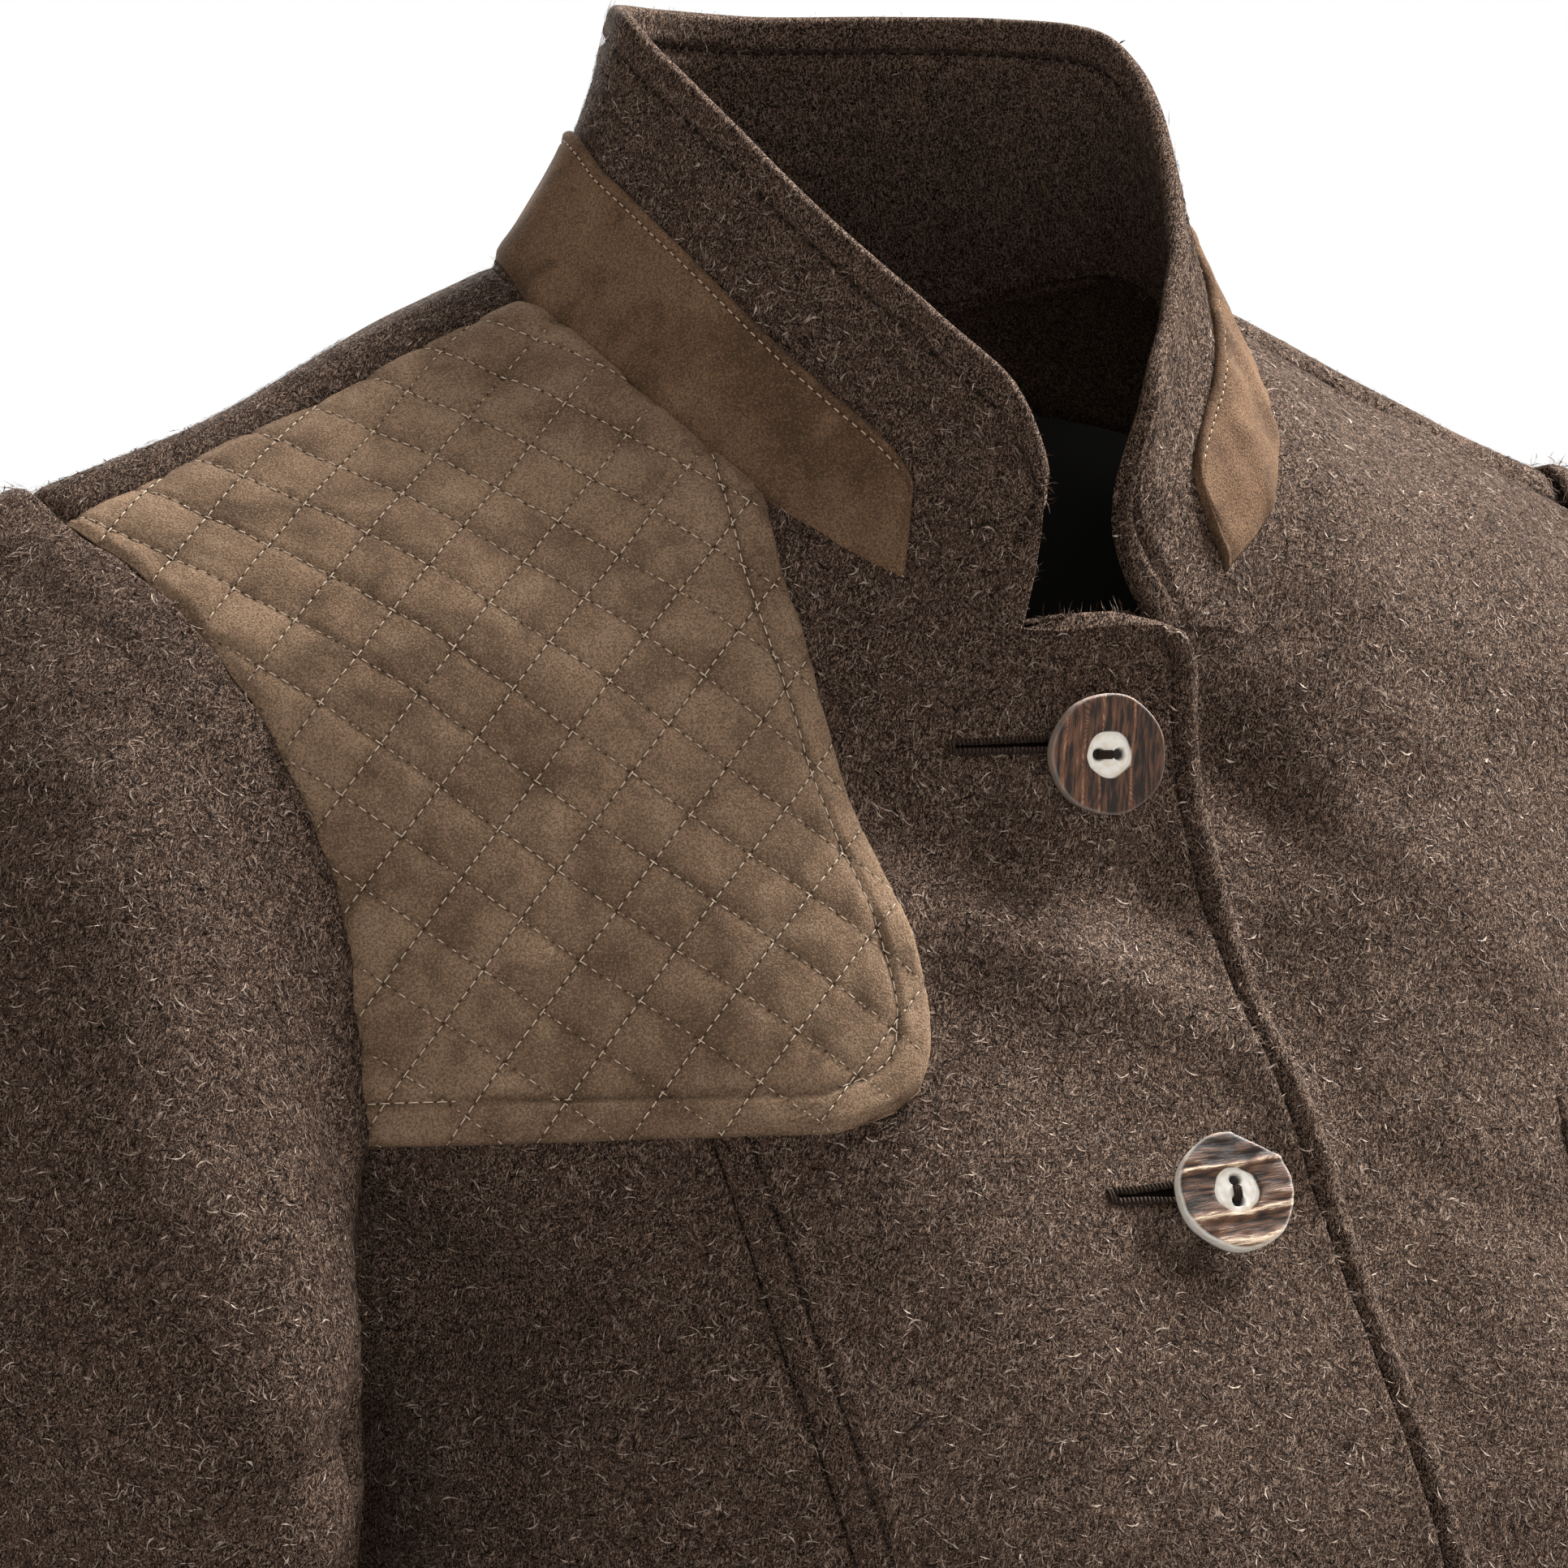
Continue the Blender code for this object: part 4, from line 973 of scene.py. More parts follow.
# The front's stitched grooves fade out below the neck and below the armhole, over these parts of a row.
NECK_FADE_FROM, NECK_FADE, ARMHOLE_FADE = 0.5, 0.6, 0.4
EDGE_PUFF, EDGE_PUFF_AT, EDGE_PUFF_HALF, EDGE_ROLL, EDGE_ROLL_GAIN = 0.7, 3.3, 2.0, 2.0, 1.2
# A button presses its bed flat: this deep, out to this distance, then less over the next one.
BED_DEPTH, BED_REACH, BED_FADE = 0.2, 10, 12
# The sleeve's head: small puckers of ease along the armhole, and the cloth's roll over the seam.
EASE_DEPTH, EASE_COUNT, EASE_REACH = 0.35, 30, 12
CROWN_PUFF, CROWN_ROLL, CROWN_FULL, CROWN_FADE = 1.5, 1.4, 8, 14
# How far the left front sinks under the right one, and how far from its edge it has risen again.
UNDERLAP_DIP, UNDERLAP_RISE = 1.3, 30.0
INNER_STEP, INNER_INSET = 6.5, 0.8
INNER_DEPTH = WOOL_THICKNESS + 0.1


def princess_share(row):
    inside = np.interp(row, [p.row for p in PRINCESS_SEAM], [p.share for p in PRINCESS_SEAM])
    return np.where(row > PRINCESS_SEAM[-1].row, 1.0, inside)


def button_spots():
    """Where each button sits, in mm, with the way its face looks."""
    spots = []
    for number, button in enumerate(BUTTONS, 1):
        yaw, nod = math.radians(button.yaw), math.radians(button.nod)
        face = np.array([math.sin(yaw) * math.cos(nod), -math.cos(yaw) * math.cos(nod), math.sin(nod)])
        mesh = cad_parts[f"button_{number}"].data
        points = np.array([v.co for v in mesh.vertices]) / MM
        heights = points @ face
        flat = points - heights[:, None] * face
        middle = (flat.min(0) + flat.max(0)) / 2
        middle -= face * (middle @ face)
        spots.append((middle + face * heights.min(), face))
    return spots


BUTTON_SPOTS = button_spots()


def body_waves(points):
    """The body's folds, pressed flat where a button lies on them."""
    relief = body_relief(points)
    for seat, _ in BUTTON_SPOTS:
        distance = np.linalg.norm(points - seat, axis=-1)
        press = 1 - smooth_step((distance - BED_REACH) / BED_FADE)
        relief = relief * (1 - press) + np.minimum(relief, -BED_DEPTH) * press
    return relief


def underlap_dip(panel):
    """How far the left front sinks where the right one lies on it."""
    edge = -table_rows(FRONT_ROWS, panel.rows)[..., 0]
    return UNDERLAP_DIP * (1 - smooth_step((panel.points[..., 0] - edge) / UNDERLAP_RISE))


def front_relief(panel, side):
    relief = body_waves(panel.points)
    if side == LEFT:
        relief -= underlap_dip(panel)
    below_neck = smooth_step((NECK_ROW - NECK_FADE_FROM - panel.rows) / NECK_FADE)
    below_armhole = smooth_step((PRINCESS_SEAM[-1].row - panel.rows) / ARMHOLE_FADE)
    relief += groove(panel.start, STITCH_LINE) * below_neck
    puff = EDGE_PUFF * bump((panel.start - EDGE_PUFF_AT) / EDGE_PUFF_HALF)
    relief += (puff + EDGE_ROLL_GAIN * rolled(panel.start, EDGE_ROLL)) * below_neck
    relief += groove(panel.end, SEAM_STITCH_LINE) * below_armhole
    return relief + seam_relief(panel, SEAM_SIDES["front"])


def plain_relief(panel, sides):
    return body_waves(panel.points) + seam_relief(panel, sides)


def sleeve_waves(side):
    """The function that gives a sleeve's folds at points of it."""
    folds = []
    for fold in SLEEVE_FOLDS:
        down, around = np.array(fold.line, float).T
        folds.append(fold._replace(line=sleeve_surface(side, down, around)))
    return lambda points: with_waves(fold_relief(points, folds), points, SLEEVE_WAVES)


def sleeve_relief(waves, panel):
    ease = EASE_DEPTH * np.cos(np.radians(panel.columns) * EASE_COUNT) * bump(panel.bottom / EASE_REACH)
    crown = CROWN_PUFF * (1 - smooth_step((panel.bottom - CROWN_FULL) / CROWN_FADE))
    crown = crown + rolled(panel.bottom, CROWN_ROLL)
    sides = np.minimum(np.minimum(panel.start, panel.end), panel.top)
    sunk = SEAM_SINK * (bump(panel.start / SEAM_HALF) + bump(panel.end / SEAM_HALF))
    return waves(panel.points) + ease + crown + (rolled(sides, WOOL_THICKNESS / 2) - sunk)


# A wool piece: its node, its outer face, the relief on that, and the waves that both its faces share.
Cloth = namedtuple("Cloth", "name panel relief waves")


def body_panel(surface, side, top_row, share_range, near, steps, fine=True):
    return cut_panel(
        on_side(surface, side),
        (0.0, top_row),
        share_range,
        steps,
        near,
        BODY_CENTRE,
        (VIEW_LOW_ROW, top_row) if fine else None,
    )


def front_share_range(rows):
    return np.zeros_like(rows), princess_share(rows)


def side_share_range(rows):
    return princess_share(rows), np.ones_like(rows)


def wool_cloths():
    """The fronts, side fronts, backs and sleeves of both sides."""
    cloths = []
    seams = [NEAR_EDGE, NEAR_SEAM, NEAR_SEAM, NEAR_SEAM]
    for side, name in ((RIGHT, "right"), (LEFT, "left")):
        near = [NEAR_EDGE, NEAR_SEAM, NEAR_EDGE, NEAR_EDGE]
        steps = (COARSE_STEP, FRONT_STEP)
        panel = body_panel(front_surface, side, FRONT_SHOULDER, front_share_range, near, steps)
        cloths.append(Cloth(f"front_{name}", panel, front_relief(panel, side), body_waves))
        top, steps = PRINCESS_SEAM[-1].row, (COARSE_STEP, SIDE_STEP)
        panel = body_panel(front_surface, side, top, side_share_range, seams, steps)
        relief = plain_relief(panel, SEAM_SIDES["side"])
        cloths.append(Cloth(f"side_front_{name}", panel, relief, body_waves))
        steps = (COARSE_STEP, COARSE_STEP)
        panel = body_panel(back_surface, side, BACK_SHOULDER, between(0, 1), seams, steps, False)
        cloths.append(Cloth(f"back_{name}", panel, plain_relief(panel, SEAM_SIDES["back"]), body_waves))
        middle = (sleeve_ring(side, 1.0, 0.0) + sleeve_ring(side, 1.0, 180.0)) / 2
        waves = sleeve_waves(side)
        span = UNDER_SLEEVE_SPAN
        for part, first, last in (("top", span, 360 - span), ("under", -span, span)):
            seen = part == "top" and side == RIGHT
            # Known fault: add_inner cuts its panels after this loop has left side at LEFT, so both inner sheets
            # of the right sleeve lie in the left one. on_side(sleeve_surface, side) would cure it.
            panel = cut_panel(
                lambda down, around: sleeve_surface(side, down, around),
                (0.0, CUFF_DOWN),
                between(first, last),
                (COARSE_STEP, SLEEVE_STEP if seen else FAR_SLEEVE_STEP),
                [NEAR_SEAM, NEAR_EDGE, NEAR_SEAM, NEAR_SEAM],
                middle,
                (0.0, VIEW_LOW_DOWN) if seen else None,
            )
            cloths.append(Cloth(f"sleeve_{name}_{part}", panel, sleeve_relief(waves, panel), waves))
    return cloths


def cut_size(panel):
    """Width and length of the flat piece in metres, and its area."""
    points = panel.points * MM
    across = running_length(points.swapaxes(0, 1))[-1]
    along = running_length(points)[-1]
    width, length = float(across.max()), float(along.max())
    return (width, length), float(min(cell_areas(points).sum(), width * length))


def declare_sheet(panel):
    flat, area = cut_size(panel)


def inner_panel(panel):
    """The same piece cut coarsely, for the cloth's inner face."""

    def share_range(rows):
        return [np.interp(rows, panel.rows[:, 0], panel.columns[:, side]) for side in (0, -1)]

    row_range = (panel.rows[0, 0], panel.rows[-1, 0])
    steps, near = (INNER_STEP, INNER_STEP), [[INNER_INSET]] * 4
    return cut_panel(panel.surface, row_range, share_range, steps, near, panel.far_behind)


def add_inward_sheet(name, panel, relief, slot, material):
    """One open sheet that faces inwards."""
    points = panel.raised(relief)
    faces = grid_faces(*points.shape[:2])
    faces = faces_out(points.reshape(-1, 3), faces, -panel.normals.reshape(-1, 3))
    return add_surface(name, points, faces, slot, material)


def add_inner(cloth):
    """The wrong side of a cloth."""
    panel = inner_panel(cloth.panel)
    relief = cloth.waves(panel.points) - INNER_DEPTH
    return add_inward_sheet(f"{cloth.name}_inside", panel, relief, "wool", WOOL)


def displaced(cloth):
    return cloth.panel.raised(cloth.relief)


# ---------------------------------------------------------------- collar

NECK_CENTRE = (0, 0, 20)
COLLAR_ENDS, COLLAR_STEP = 9.0, 2.3
# The front corners are rounded over the last column and this share of the height.
COLLAR_CORNER_SHARE = 0.22
COLLAR_STITCH = 7.5
NEAR_NECK = [0, 0.8, 1.6, 2.4]
# The collar and its suede begin this share of their height below the neck seam, inside the body cloth.
COLLAR_TUCK = -0.045
# How bare of hairs the collar is at its free edges, how far that reaches, and how bare its inner face is.
COLLAR_EDGE_BARE, COLLAR_BARE_REACH, INNER_BARE = 0.9, 4.5, 0.4


def collar_both(column, share):
    """The collar's surface with negative columns on the right half."""
    column, share = np.broadcast_arrays(np.asarray(column, float), np.asarray(share, float))
    right = collar_surface(RIGHT, np.abs(column), share)
    left = collar_surface(LEFT, np.abs(column), share)
    return np.where((column < 0)[..., None], right, left)


def collar_top_share(column):
    """The share at which the collar ends: its front corners are rounded."""
    past = np.clip(np.abs(column) - (COLLAR_ENDS - 1), 0, 1)
    return 1 - COLLAR_CORNER_SHARE * (1 - np.sqrt(1 - past**2))


def collar_share_range(columns):
    return np.full_like(columns, COLLAR_TUCK), collar_top_share(columns)


def collar_panel():
    """The collar as a grid whose rows go round the neck and whose columns go up."""
    ends, steps = (-COLLAR_ENDS, COLLAR_ENDS), (COLLAR_STEP, COLLAR_STEP)
    near = [NEAR_EDGE, NEAR_EDGE, NEAR_NECK, NEAR_EDGE]
    return cut_panel(collar_both, ends, collar_share_range, steps, near, NECK_CENTRE)


def collar_waves(points):
    return with_waves(0.0, points, COLLAR_WAVES)


def collar_relief(panel):
    stitched = groove(panel.free_edge, COLLAR_STITCH) + rolled(panel.free_edge, COLLAR_THICKNESS / 2)
    return collar_waves(panel.points) + stitched


def add_collar():
    """Adds the collar, and returns it with its panel and the points of its outer and inner faces."""
    panel = collar_panel()
    waves = collar_waves(panel.points)
    pressed = collar_relief(panel) - waves
    outer = panel.raised(waves + pressed)
    inner = panel.raised(waves - COLLAR_THICKNESS - pressed)
    obj = add_surface("collar_wool", *closed_shell(outer, inner, panel.normals), "wool", WOOL)
    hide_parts("collar")
    return obj, panel, outer, inner


# ---------------------------------------------------------------- suede

SUEDE_OUT, SUEDE_STEP = 1.7, 2.2
SUEDE_NEAR = [0, 0.1, 0.3, 0.6, 1.1, 1.7, 2.2, 2.5, 2.8, 3.4, 4.4]
SUEDE_NEAR_NECK = [0, 0.5, 1.0, 1.6, 2.3]
# The band begins this share of the collar's tuck below the neck seam.
SUEDE_TUCK_SHARE = 0.4
SUEDE_CORNER, SUEDE_CORNER_SHARE = 0.5, 0.11
# The line of stitches inside the band's edge: its distance, depth and half width, and its stitches.
SUEDE_STITCH, SUEDE_STITCH_DIP, SUEDE_STITCH_HALF = 2.5, 0.45, 0.6
SUEDE_STITCH_LENGTH, SUEDE_STITCH_GAP, SUEDE_STITCH_RADIUS, SUEDE_HOLE_RADIUS = 1.6, 0.7, 0.16, 0.2
SUEDE_ROLL, SUEDE_SWELL, SUEDE_SWELL_AT, SUEDE_SWELL_HALF = 1.1, 0.25, 1.2, 0.9
SUEDE_NECK_SINK, SUEDE_NECK_HALF = 1.3, 1.8
# Between these columns of the left half the band stands off the collar, and wrinkles.
PUFF_FROM, PUFF_FADE_IN, PUFF_TO, PUFF_FADE_OUT = 3.2, 1.2, 6.9, 0.7
SUEDE_PUFF, SUEDE_WRINKLE, SUEDE_UNEVEN = 1.6, 0.45, 0.15


def suede_share_range(columns):
    upper = table_rows(COLLAR_COLUMNS, np.abs(columns))[..., 3]
    past = np.clip((np.abs(columns) - (SUEDE_END_COLUMN - SUEDE_CORNER)) / SUEDE_CORNER, 0, 1)
    upper = upper - SUEDE_CORNER_SHARE * (1 - np.sqrt(1 - past**2))
    return np.full_like(upper, COLLAR_TUCK * SUEDE_TUCK_SHARE), upper


def suede_panel():
    near = [SUEDE_NEAR, SUEDE_NEAR, SUEDE_NEAR_NECK, SUEDE_NEAR]
    ends, steps = (-SUEDE_END_COLUMN, SUEDE_END_COLUMN), (SUEDE_STEP, SUEDE_STEP)
    return cut_panel(collar_both, ends, suede_share_range, steps, near, NECK_CENTRE)


def suede_relief(panel):
    edge, points = panel.free_edge, panel.points
    folded = rolled(edge, SUEDE_ROLL) - SUEDE_STITCH_DIP * bump((edge - SUEDE_STITCH) / SUEDE_STITCH_HALF)
    swollen = SUEDE_SWELL * bump((edge - SUEDE_SWELL_AT) / SUEDE_SWELL_HALF)
    folded += swollen - SUEDE_NECK_SINK * bump(panel.start / SUEDE_NECK_HALF)
    left = smooth_step((panel.rows - PUFF_FROM) / PUFF_FADE_IN)
    left = left * smooth_step((PUFF_TO - panel.rows) / PUFF_FADE_OUT)
    up = np.clip(panel.start / (panel.start + panel.end), 0, 1)
    puffed = left * SUEDE_PUFF * np.sin(math.pi * up)
    wrinkles = left * SUEDE_WRINKLE * uneven(points * [1, 1, 0.35], 9, 12)
    relief = collar_waves(points) + SUEDE_OUT + folded + puffed + wrinkles
    return relief + SUEDE_UNEVEN * uneven(points, 12, 13)


# The quilting lines lie where two sets of evenly spaced planes cut the patch. A plane's number is
# position @ way + first, and whole numbers are lines.
QuiltSet = namedtuple("QuiltSet", "way first")
QUILT_SETS = [
    QuiltSet((0.0527, 0.0035, 0.0593), 16.22),
    QuiltSet((0.0449, -0.0409, -0.0407), 1.40),
]
PATCH_LOW_ROW, PATCH_NECK_ROW = PATCH_EDGE[0].row, PATCH_EDGE[-1].row
# The patch meets the neck over this much of a row.
PATCH_NECK_FADE = 0.5
PATCH_OUT, PATCH_STEP, PATCH_SHARE_POINTS = 2.0, 1.15, 241
PATCH_NEAR, PATCH_NEAR_SEAM = [0, 0.1, 0.3, 0.6, 1.0], [0, 0.3, 0.8]
# The padding: its height, how far from a line it's full, how square its pillows are, and the border's share.
QUILT_PUFF, QUILT_REACH, QUILT_SQUARE, BORDER_PUFF_SHARE = 0.62, 5.5, 0.55, 0.8
# Each seam's depth and half width: quilting lines, border line, folded edge, armhole and shoulder.
QUILT_DIP, QUILT_HALF = 0.35, 0.6
PATCH_BORDER, BORDER_RISE, BORDER_DIP, BORDER_HALF = 8.0, 0.6, 0.8, 0.65
PATCH_FOLD, PATCH_FOLD_RADIUS = 0.8, 2.4
PATCH_TOP_SINK, PATCH_TOP_HALF, PATCH_END_SINK, PATCH_END_HALF, PATCH_NECK_HALF = 1.2, 1.9, 0.9, 1.5, 2
PATCH_STITCH, PATCH_STITCH_GAP, PATCH_STITCH_RADIUS, PATCH_HOLE_RADIUS = 2.0, 0.7, 0.125, 0.16
BORDER_STITCH, BORDER_STITCH_GAP = 2.2, 0.5
# How far the suede is pressed along the quilting lines and the border line, and darkened there with painted
# crease shade, their half widths, and the most.
PRESSED_AND_SHADED_LINE, PRESSED_AND_SHADED_LINE_HALF, PRESSED_AND_SHADED_BORDER, PRESSED_AND_SHADED_BORDER_HALF = 0.4, 0.45, 0.55, 0.7
MOST_PRESSED_AND_SHADED = 0.7
# The front edge's line is drawn out this far past the neck, in mm.
RIM_ONWARD = 20


def patch_share_range(rows):
    """From the patch's own line to the armhole."""
    out = np.interp(rows, [p.row for p in PATCH_EDGE], [p.out for p in PATCH_EDGE])
    shares = np.linspace(0, 1, PATCH_SHARE_POINTS)
    line = -front_surface(RIGHT, rows[:, None], shares)[..., 0]
    start = np.array([np.interp(o, one, shares) for o, one in zip(out, line)])
    on_neck = smooth_step((rows - PATCH_NECK_ROW) / PATCH_NECK_FADE)
    return start * (1 - on_neck), np.ones_like(rows)


def patch_panel():
    near = [PATCH_NEAR, PATCH_NEAR_SEAM] * 2
    surface, rows = on_side(front_surface, RIGHT), (PATCH_LOW_ROW, FRONT_SHOULDER)
    return cut_panel(surface, rows, patch_share_range, (PATCH_STEP, PATCH_STEP), near, BODY_CENTRE)


def quilt_distances(panel):
    """Distance from the nearest line of each set."""
    found = []
    for lines in QUILT_SETS:
        way = np.array(lines.way)
        number = panel.points @ way + lines.first
        along = way - panel.normals * (panel.normals @ way)[..., None]
        found.append(np.abs(number - np.round(number)) / np.linalg.norm(along, axis=-1))
    return found


def patch_rim(panel):
    """Distance from the folded edge: the lower one and the one towards the front, round their corner."""
    free = panel.points[panel.rows[:, 0] < PATCH_NECK_ROW - 0.1, 0]
    onward = free[-1] + RIM_ONWARD * unit(free[-1] - free[-12])
    return line_distance(panel.points, np.concatenate([panel.points[0, ::-6], free[::4], onward[None]]))


def patch_relief(panel, rim):
    """The quilted relief, and how far the suede is pressed into its seams and darkened there with painted
    crease shade, from 0 to 1.
    """
    first, second = quilt_distances(panel)
    pillow = np.clip(first / QUILT_REACH, 0, 1) * np.clip(second / QUILT_REACH, 0, 1)
    inside = smooth_step((rim - PATCH_BORDER + BORDER_RISE) / (2 * BORDER_RISE))
    relief = QUILT_PUFF * (pillow**QUILT_SQUARE * inside + (1 - inside) * BORDER_PUFF_SHARE)
    relief -= QUILT_DIP * (bump(first / QUILT_HALF) + bump(second / QUILT_HALF))
    relief -= BORDER_DIP * bump((rim - PATCH_BORDER) / BORDER_HALF)
    folded = np.clip(1 - rim / PATCH_FOLD_RADIUS, 0, 1)
    relief -= (PATCH_OUT + PATCH_FOLD) * (1 - np.sqrt(1 - folded**2))
    on_neck = bump(panel.start / PATCH_NECK_HALF) * (panel.rows > PATCH_NECK_ROW)
    sunk = PATCH_TOP_SINK * bump(panel.top / PATCH_TOP_HALF)
    sunk = sunk + PATCH_END_SINK * bump(panel.end / PATCH_END_HALF)
    relief -= sunk + PATCH_TOP_SINK * on_neck
    relief += with_waves(0.0, panel.points, PATCH_WAVES)
    # Pressed nap and painted crease shade along the quilting lines and the border line.
    lines = bump(first / PRESSED_AND_SHADED_LINE_HALF) + bump(second / PRESSED_AND_SHADED_LINE_HALF)
    by_border = PRESSED_AND_SHADED_BORDER * bump((rim - PATCH_BORDER) / PRESSED_AND_SHADED_BORDER_HALF)
    return relief, np.clip(PRESSED_AND_SHADED_LINE * lines + by_border, 0, MOST_PRESSED_AND_SHADED)


# ---------------------------------------------------------------- stitches

WOOL_STITCH, WOOL_STITCH_GAP, WOOL_STITCH_RADIUS, WOOL_STITCH_SINK = 2.3, 0.7, 0.26, 0.12
# The needle holes are short dark threads: painted shade.
NEEDLE_HOLE_SINK, NEEDLE_HOLE_SIDES = 0.05, 3
# A stitch as rings along its thread: the place along it, then height and girth in radii.
StitchRing = namedtuple("StitchRing", "share height girth")
STITCH_RINGS = [
    StitchRing(0.0, -1.5, 0.6),
    StitchRing(0.2, 0.8, 1.0),
    StitchRing(0.8, 0.8, 1.0),
    StitchRing(1.0, -1.5, 0.6),
]
# A quilting line with fewer points than this is too short to stitch.
FEWEST_LINE_POINTS = 5


def offset_line(panel, grid, side, at):
    """The grid's values along the line that keeps a distance from one of the panel's sides."""
    distance = getattr(panel, side)
    if side in ("bottom", "top"):
        distance, grid = distance.T, grid.swapaxes(0, 1)
    if side in ("end", "top"):
        distance, grid = distance[:, ::-1], grid[:, ::-1]
    return np.array([[np.interp(at, spots, axis) for axis in row.T] for spots, row in zip(distance, grid)])


def stitch_ends(line, normals, length, gap):
    """Start and end points of the stitches along a line, with the normals at their middles."""
    along = running_length(line)

    def sample(values, at):
        return np.stack([np.interp(at, along, axis) for axis in values.T], axis=-1)

    starts = np.arange(gap, along[-1] - length, length + gap)
    ends = starts + length
    return sample(line, starts), sample(line, ends), unit(sample(normals, (starts + ends) / 2))


def stitch_tubes(ends, radius, sink, sides):
    """Points and faces of stitches: short threads whose ends dive into the cloth."""
    starts, stops, normals = (np.concatenate(parts) for parts in zip(*ends))
    way = stops - starts
    sideways = unit(np.cross(way, normals))
    share, height, girth = np.array(STITCH_RINGS).T
    height, girth = radius * height - sink, radius * girth
    angles = np.arange(sides) * 2 * math.pi / sides
    centre = starts[:, None] + way[:, None] * share[:, None] + normals[:, None] * height[:, None]
    ring = (
        sideways[:, None, None] * np.cos(angles)[:, None] + normals[:, None, None] * np.sin(angles)[:, None]
    )
    points = centre[:, :, None] + ring * girth[:, None, None]
    index = np.arange(points[..., 0].size).reshape(points.shape[:3])
    rolled_on = np.roll(index, -1, axis=2)
    faces = np.stack([index[:, :-1], index[:, 1:], rolled_on[:, 1:], rolled_on[:, :-1]], axis=-1)
    return points.reshape(-1, 3), faces.reshape(-1, 4)


def add_stitches(name, ends, radius, material, slot, sink=0.0, sides=5):
    return add_surface(name, *stitch_tubes(ends, radius, sink, sides), slot, material)


def add_needle_holes(name, ends, radius, slot):
    """The gaps between stitches, as short dark ends of their own: painted shade in the needle holes."""
    gaps = [(stops[:-1], starts[1:], normals[1:]) for starts, stops, normals in ends]
    return add_stitches(name, gaps, radius, NEEDLE_HOLE_SHADE, slot, NEEDLE_HOLE_SINK, NEEDLE_HOLE_SIDES)


def add_wool_stitches(name, ends):
    return add_stitches(name, ends, WOOL_STITCH_RADIUS, WOOL_THREAD, "wool", WOOL_STITCH_SINK)


def wool_seam_ends(cloth, side, at, keep):
    grids = (displaced(cloth), cloth.panel.normals)
    line, normals = (offset_line(cloth.panel, grid, side, at)[keep] for grid in grids)
    return stitch_ends(line, normals, WOOL_STITCH, WOOL_STITCH_GAP)


def level_crossings(field, grid, normals, level):
    """Points of a grid where a field passes a level, one on each row or column that it crosses."""
    found, facing = [], []
    for values, points, ways in zip(field, grid, normals):
        past = values - level
        cross = np.nonzero(np.diff(np.sign(past)))[0]
        if len(cross) == 1:
            k = cross[0]
            share = past[k] / (past[k] - past[k + 1])
            found.append(points[k] * (1 - share) + points[k + 1] * share)
            facing.append(ways[k])
    return np.array(found), np.array(facing)


def quilt_ends(panel, relief_points, normals):
    """Stitches of both sets of quilting lines."""
    ends = []
    for lines in QUILT_SETS:
        number = panel.points @ np.array(lines.way) + lines.first
        for level in range(math.ceil(number.min()), math.floor(number.max()) + 1):
            line, facing = level_crossings(number, relief_points, normals, level)
            if len(line) >= FEWEST_LINE_POINTS:
                ends.append(stitch_ends(line, facing, PATCH_STITCH, PATCH_STITCH_GAP))
    return ends


def border_ends(rim, relief_points, normals):
    """Stitches of the line that keeps a distance inside the patch's folded edges."""
    across, facing_across = level_crossings(rim, relief_points, normals, PATCH_BORDER)
    turned, ways = relief_points.swapaxes(0, 1), normals.swapaxes(0, 1)
    up, facing_up = level_crossings(rim.T, turned, ways, PATCH_BORDER)
    below = up[:, 2] < across[0, 2]
    line = np.concatenate([up[below][::-1], across])
    facing = np.concatenate([facing_up[below][::-1], facing_across])
    return stitch_ends(line, facing, BORDER_STITCH, BORDER_STITCH_GAP)


# ---------------------------------------------------------------- wool fibres

# Hairs per square mm in the camera's view and elsewhere, and how far cloth in view may face away.
FIBRE_DENSITY, FAR_FIBRE_DENSITY = 1.5, 0.025
FACING_LIMIT, VIEW_MARGIN = -0.12, 1.03
# The least share of that density between clumps of hairs, and how much more a clump has.
LEAST_SHARE, CLUMP_SHARE, CLUMP_SIZE, CLUMP_CONTRAST = 0.6, 0.8, 9, 0.8
FIBRE_POINTS = 4
# Ranges of a hair's measures in mm. Its curl is in radians a mm, and its wave in radians.
LYING_LENGTH, STANDING_LENGTH = (1.6, 4.2), (0.9, 1.9)
LYING_RISE, STANDING_RISE = (0.0, 0.14), (0.15, 0.45)
CURL, WAVE, WAVE_RATE = (0.02, 0.26), (0.1, 0.45), 1.3
FIBRE_WIDTH, FIBRE_LIFT = (0.024, 0.054), 0.03
TONE_MIDDLE, TONE_SPREAD = 0.42, 0.24
STANDING_SHARE = 0.03
# Where the cloth is wholly bare, a hair is shorter by this share.
BARE_SHORTER = 0.8
CAMERA_SPOT = np.array([-1138.5, -1647.5, 4.7])
CAMERA_WAY = unit(np.array([0.5584, 0.8279, -0.0523]))
CAMERA_RIGHT = unit(np.cross(CAMERA_WAY, [0, 0, 1]))
CAMERA_UP = np.cross(CAMERA_RIGHT, CAMERA_WAY)
LENS, SENSOR = 227.3, 36.0


def in_view(points):
    """Whether points lie in the camera's square view."""
    away = points - CAMERA_SPOT
    depth = away @ CAMERA_WAY
    half = depth * SENSOR / 2 / LENS * VIEW_MARGIN
    return (np.abs(away @ CAMERA_RIGHT) < half) & (np.abs(away @ CAMERA_UP) < half)


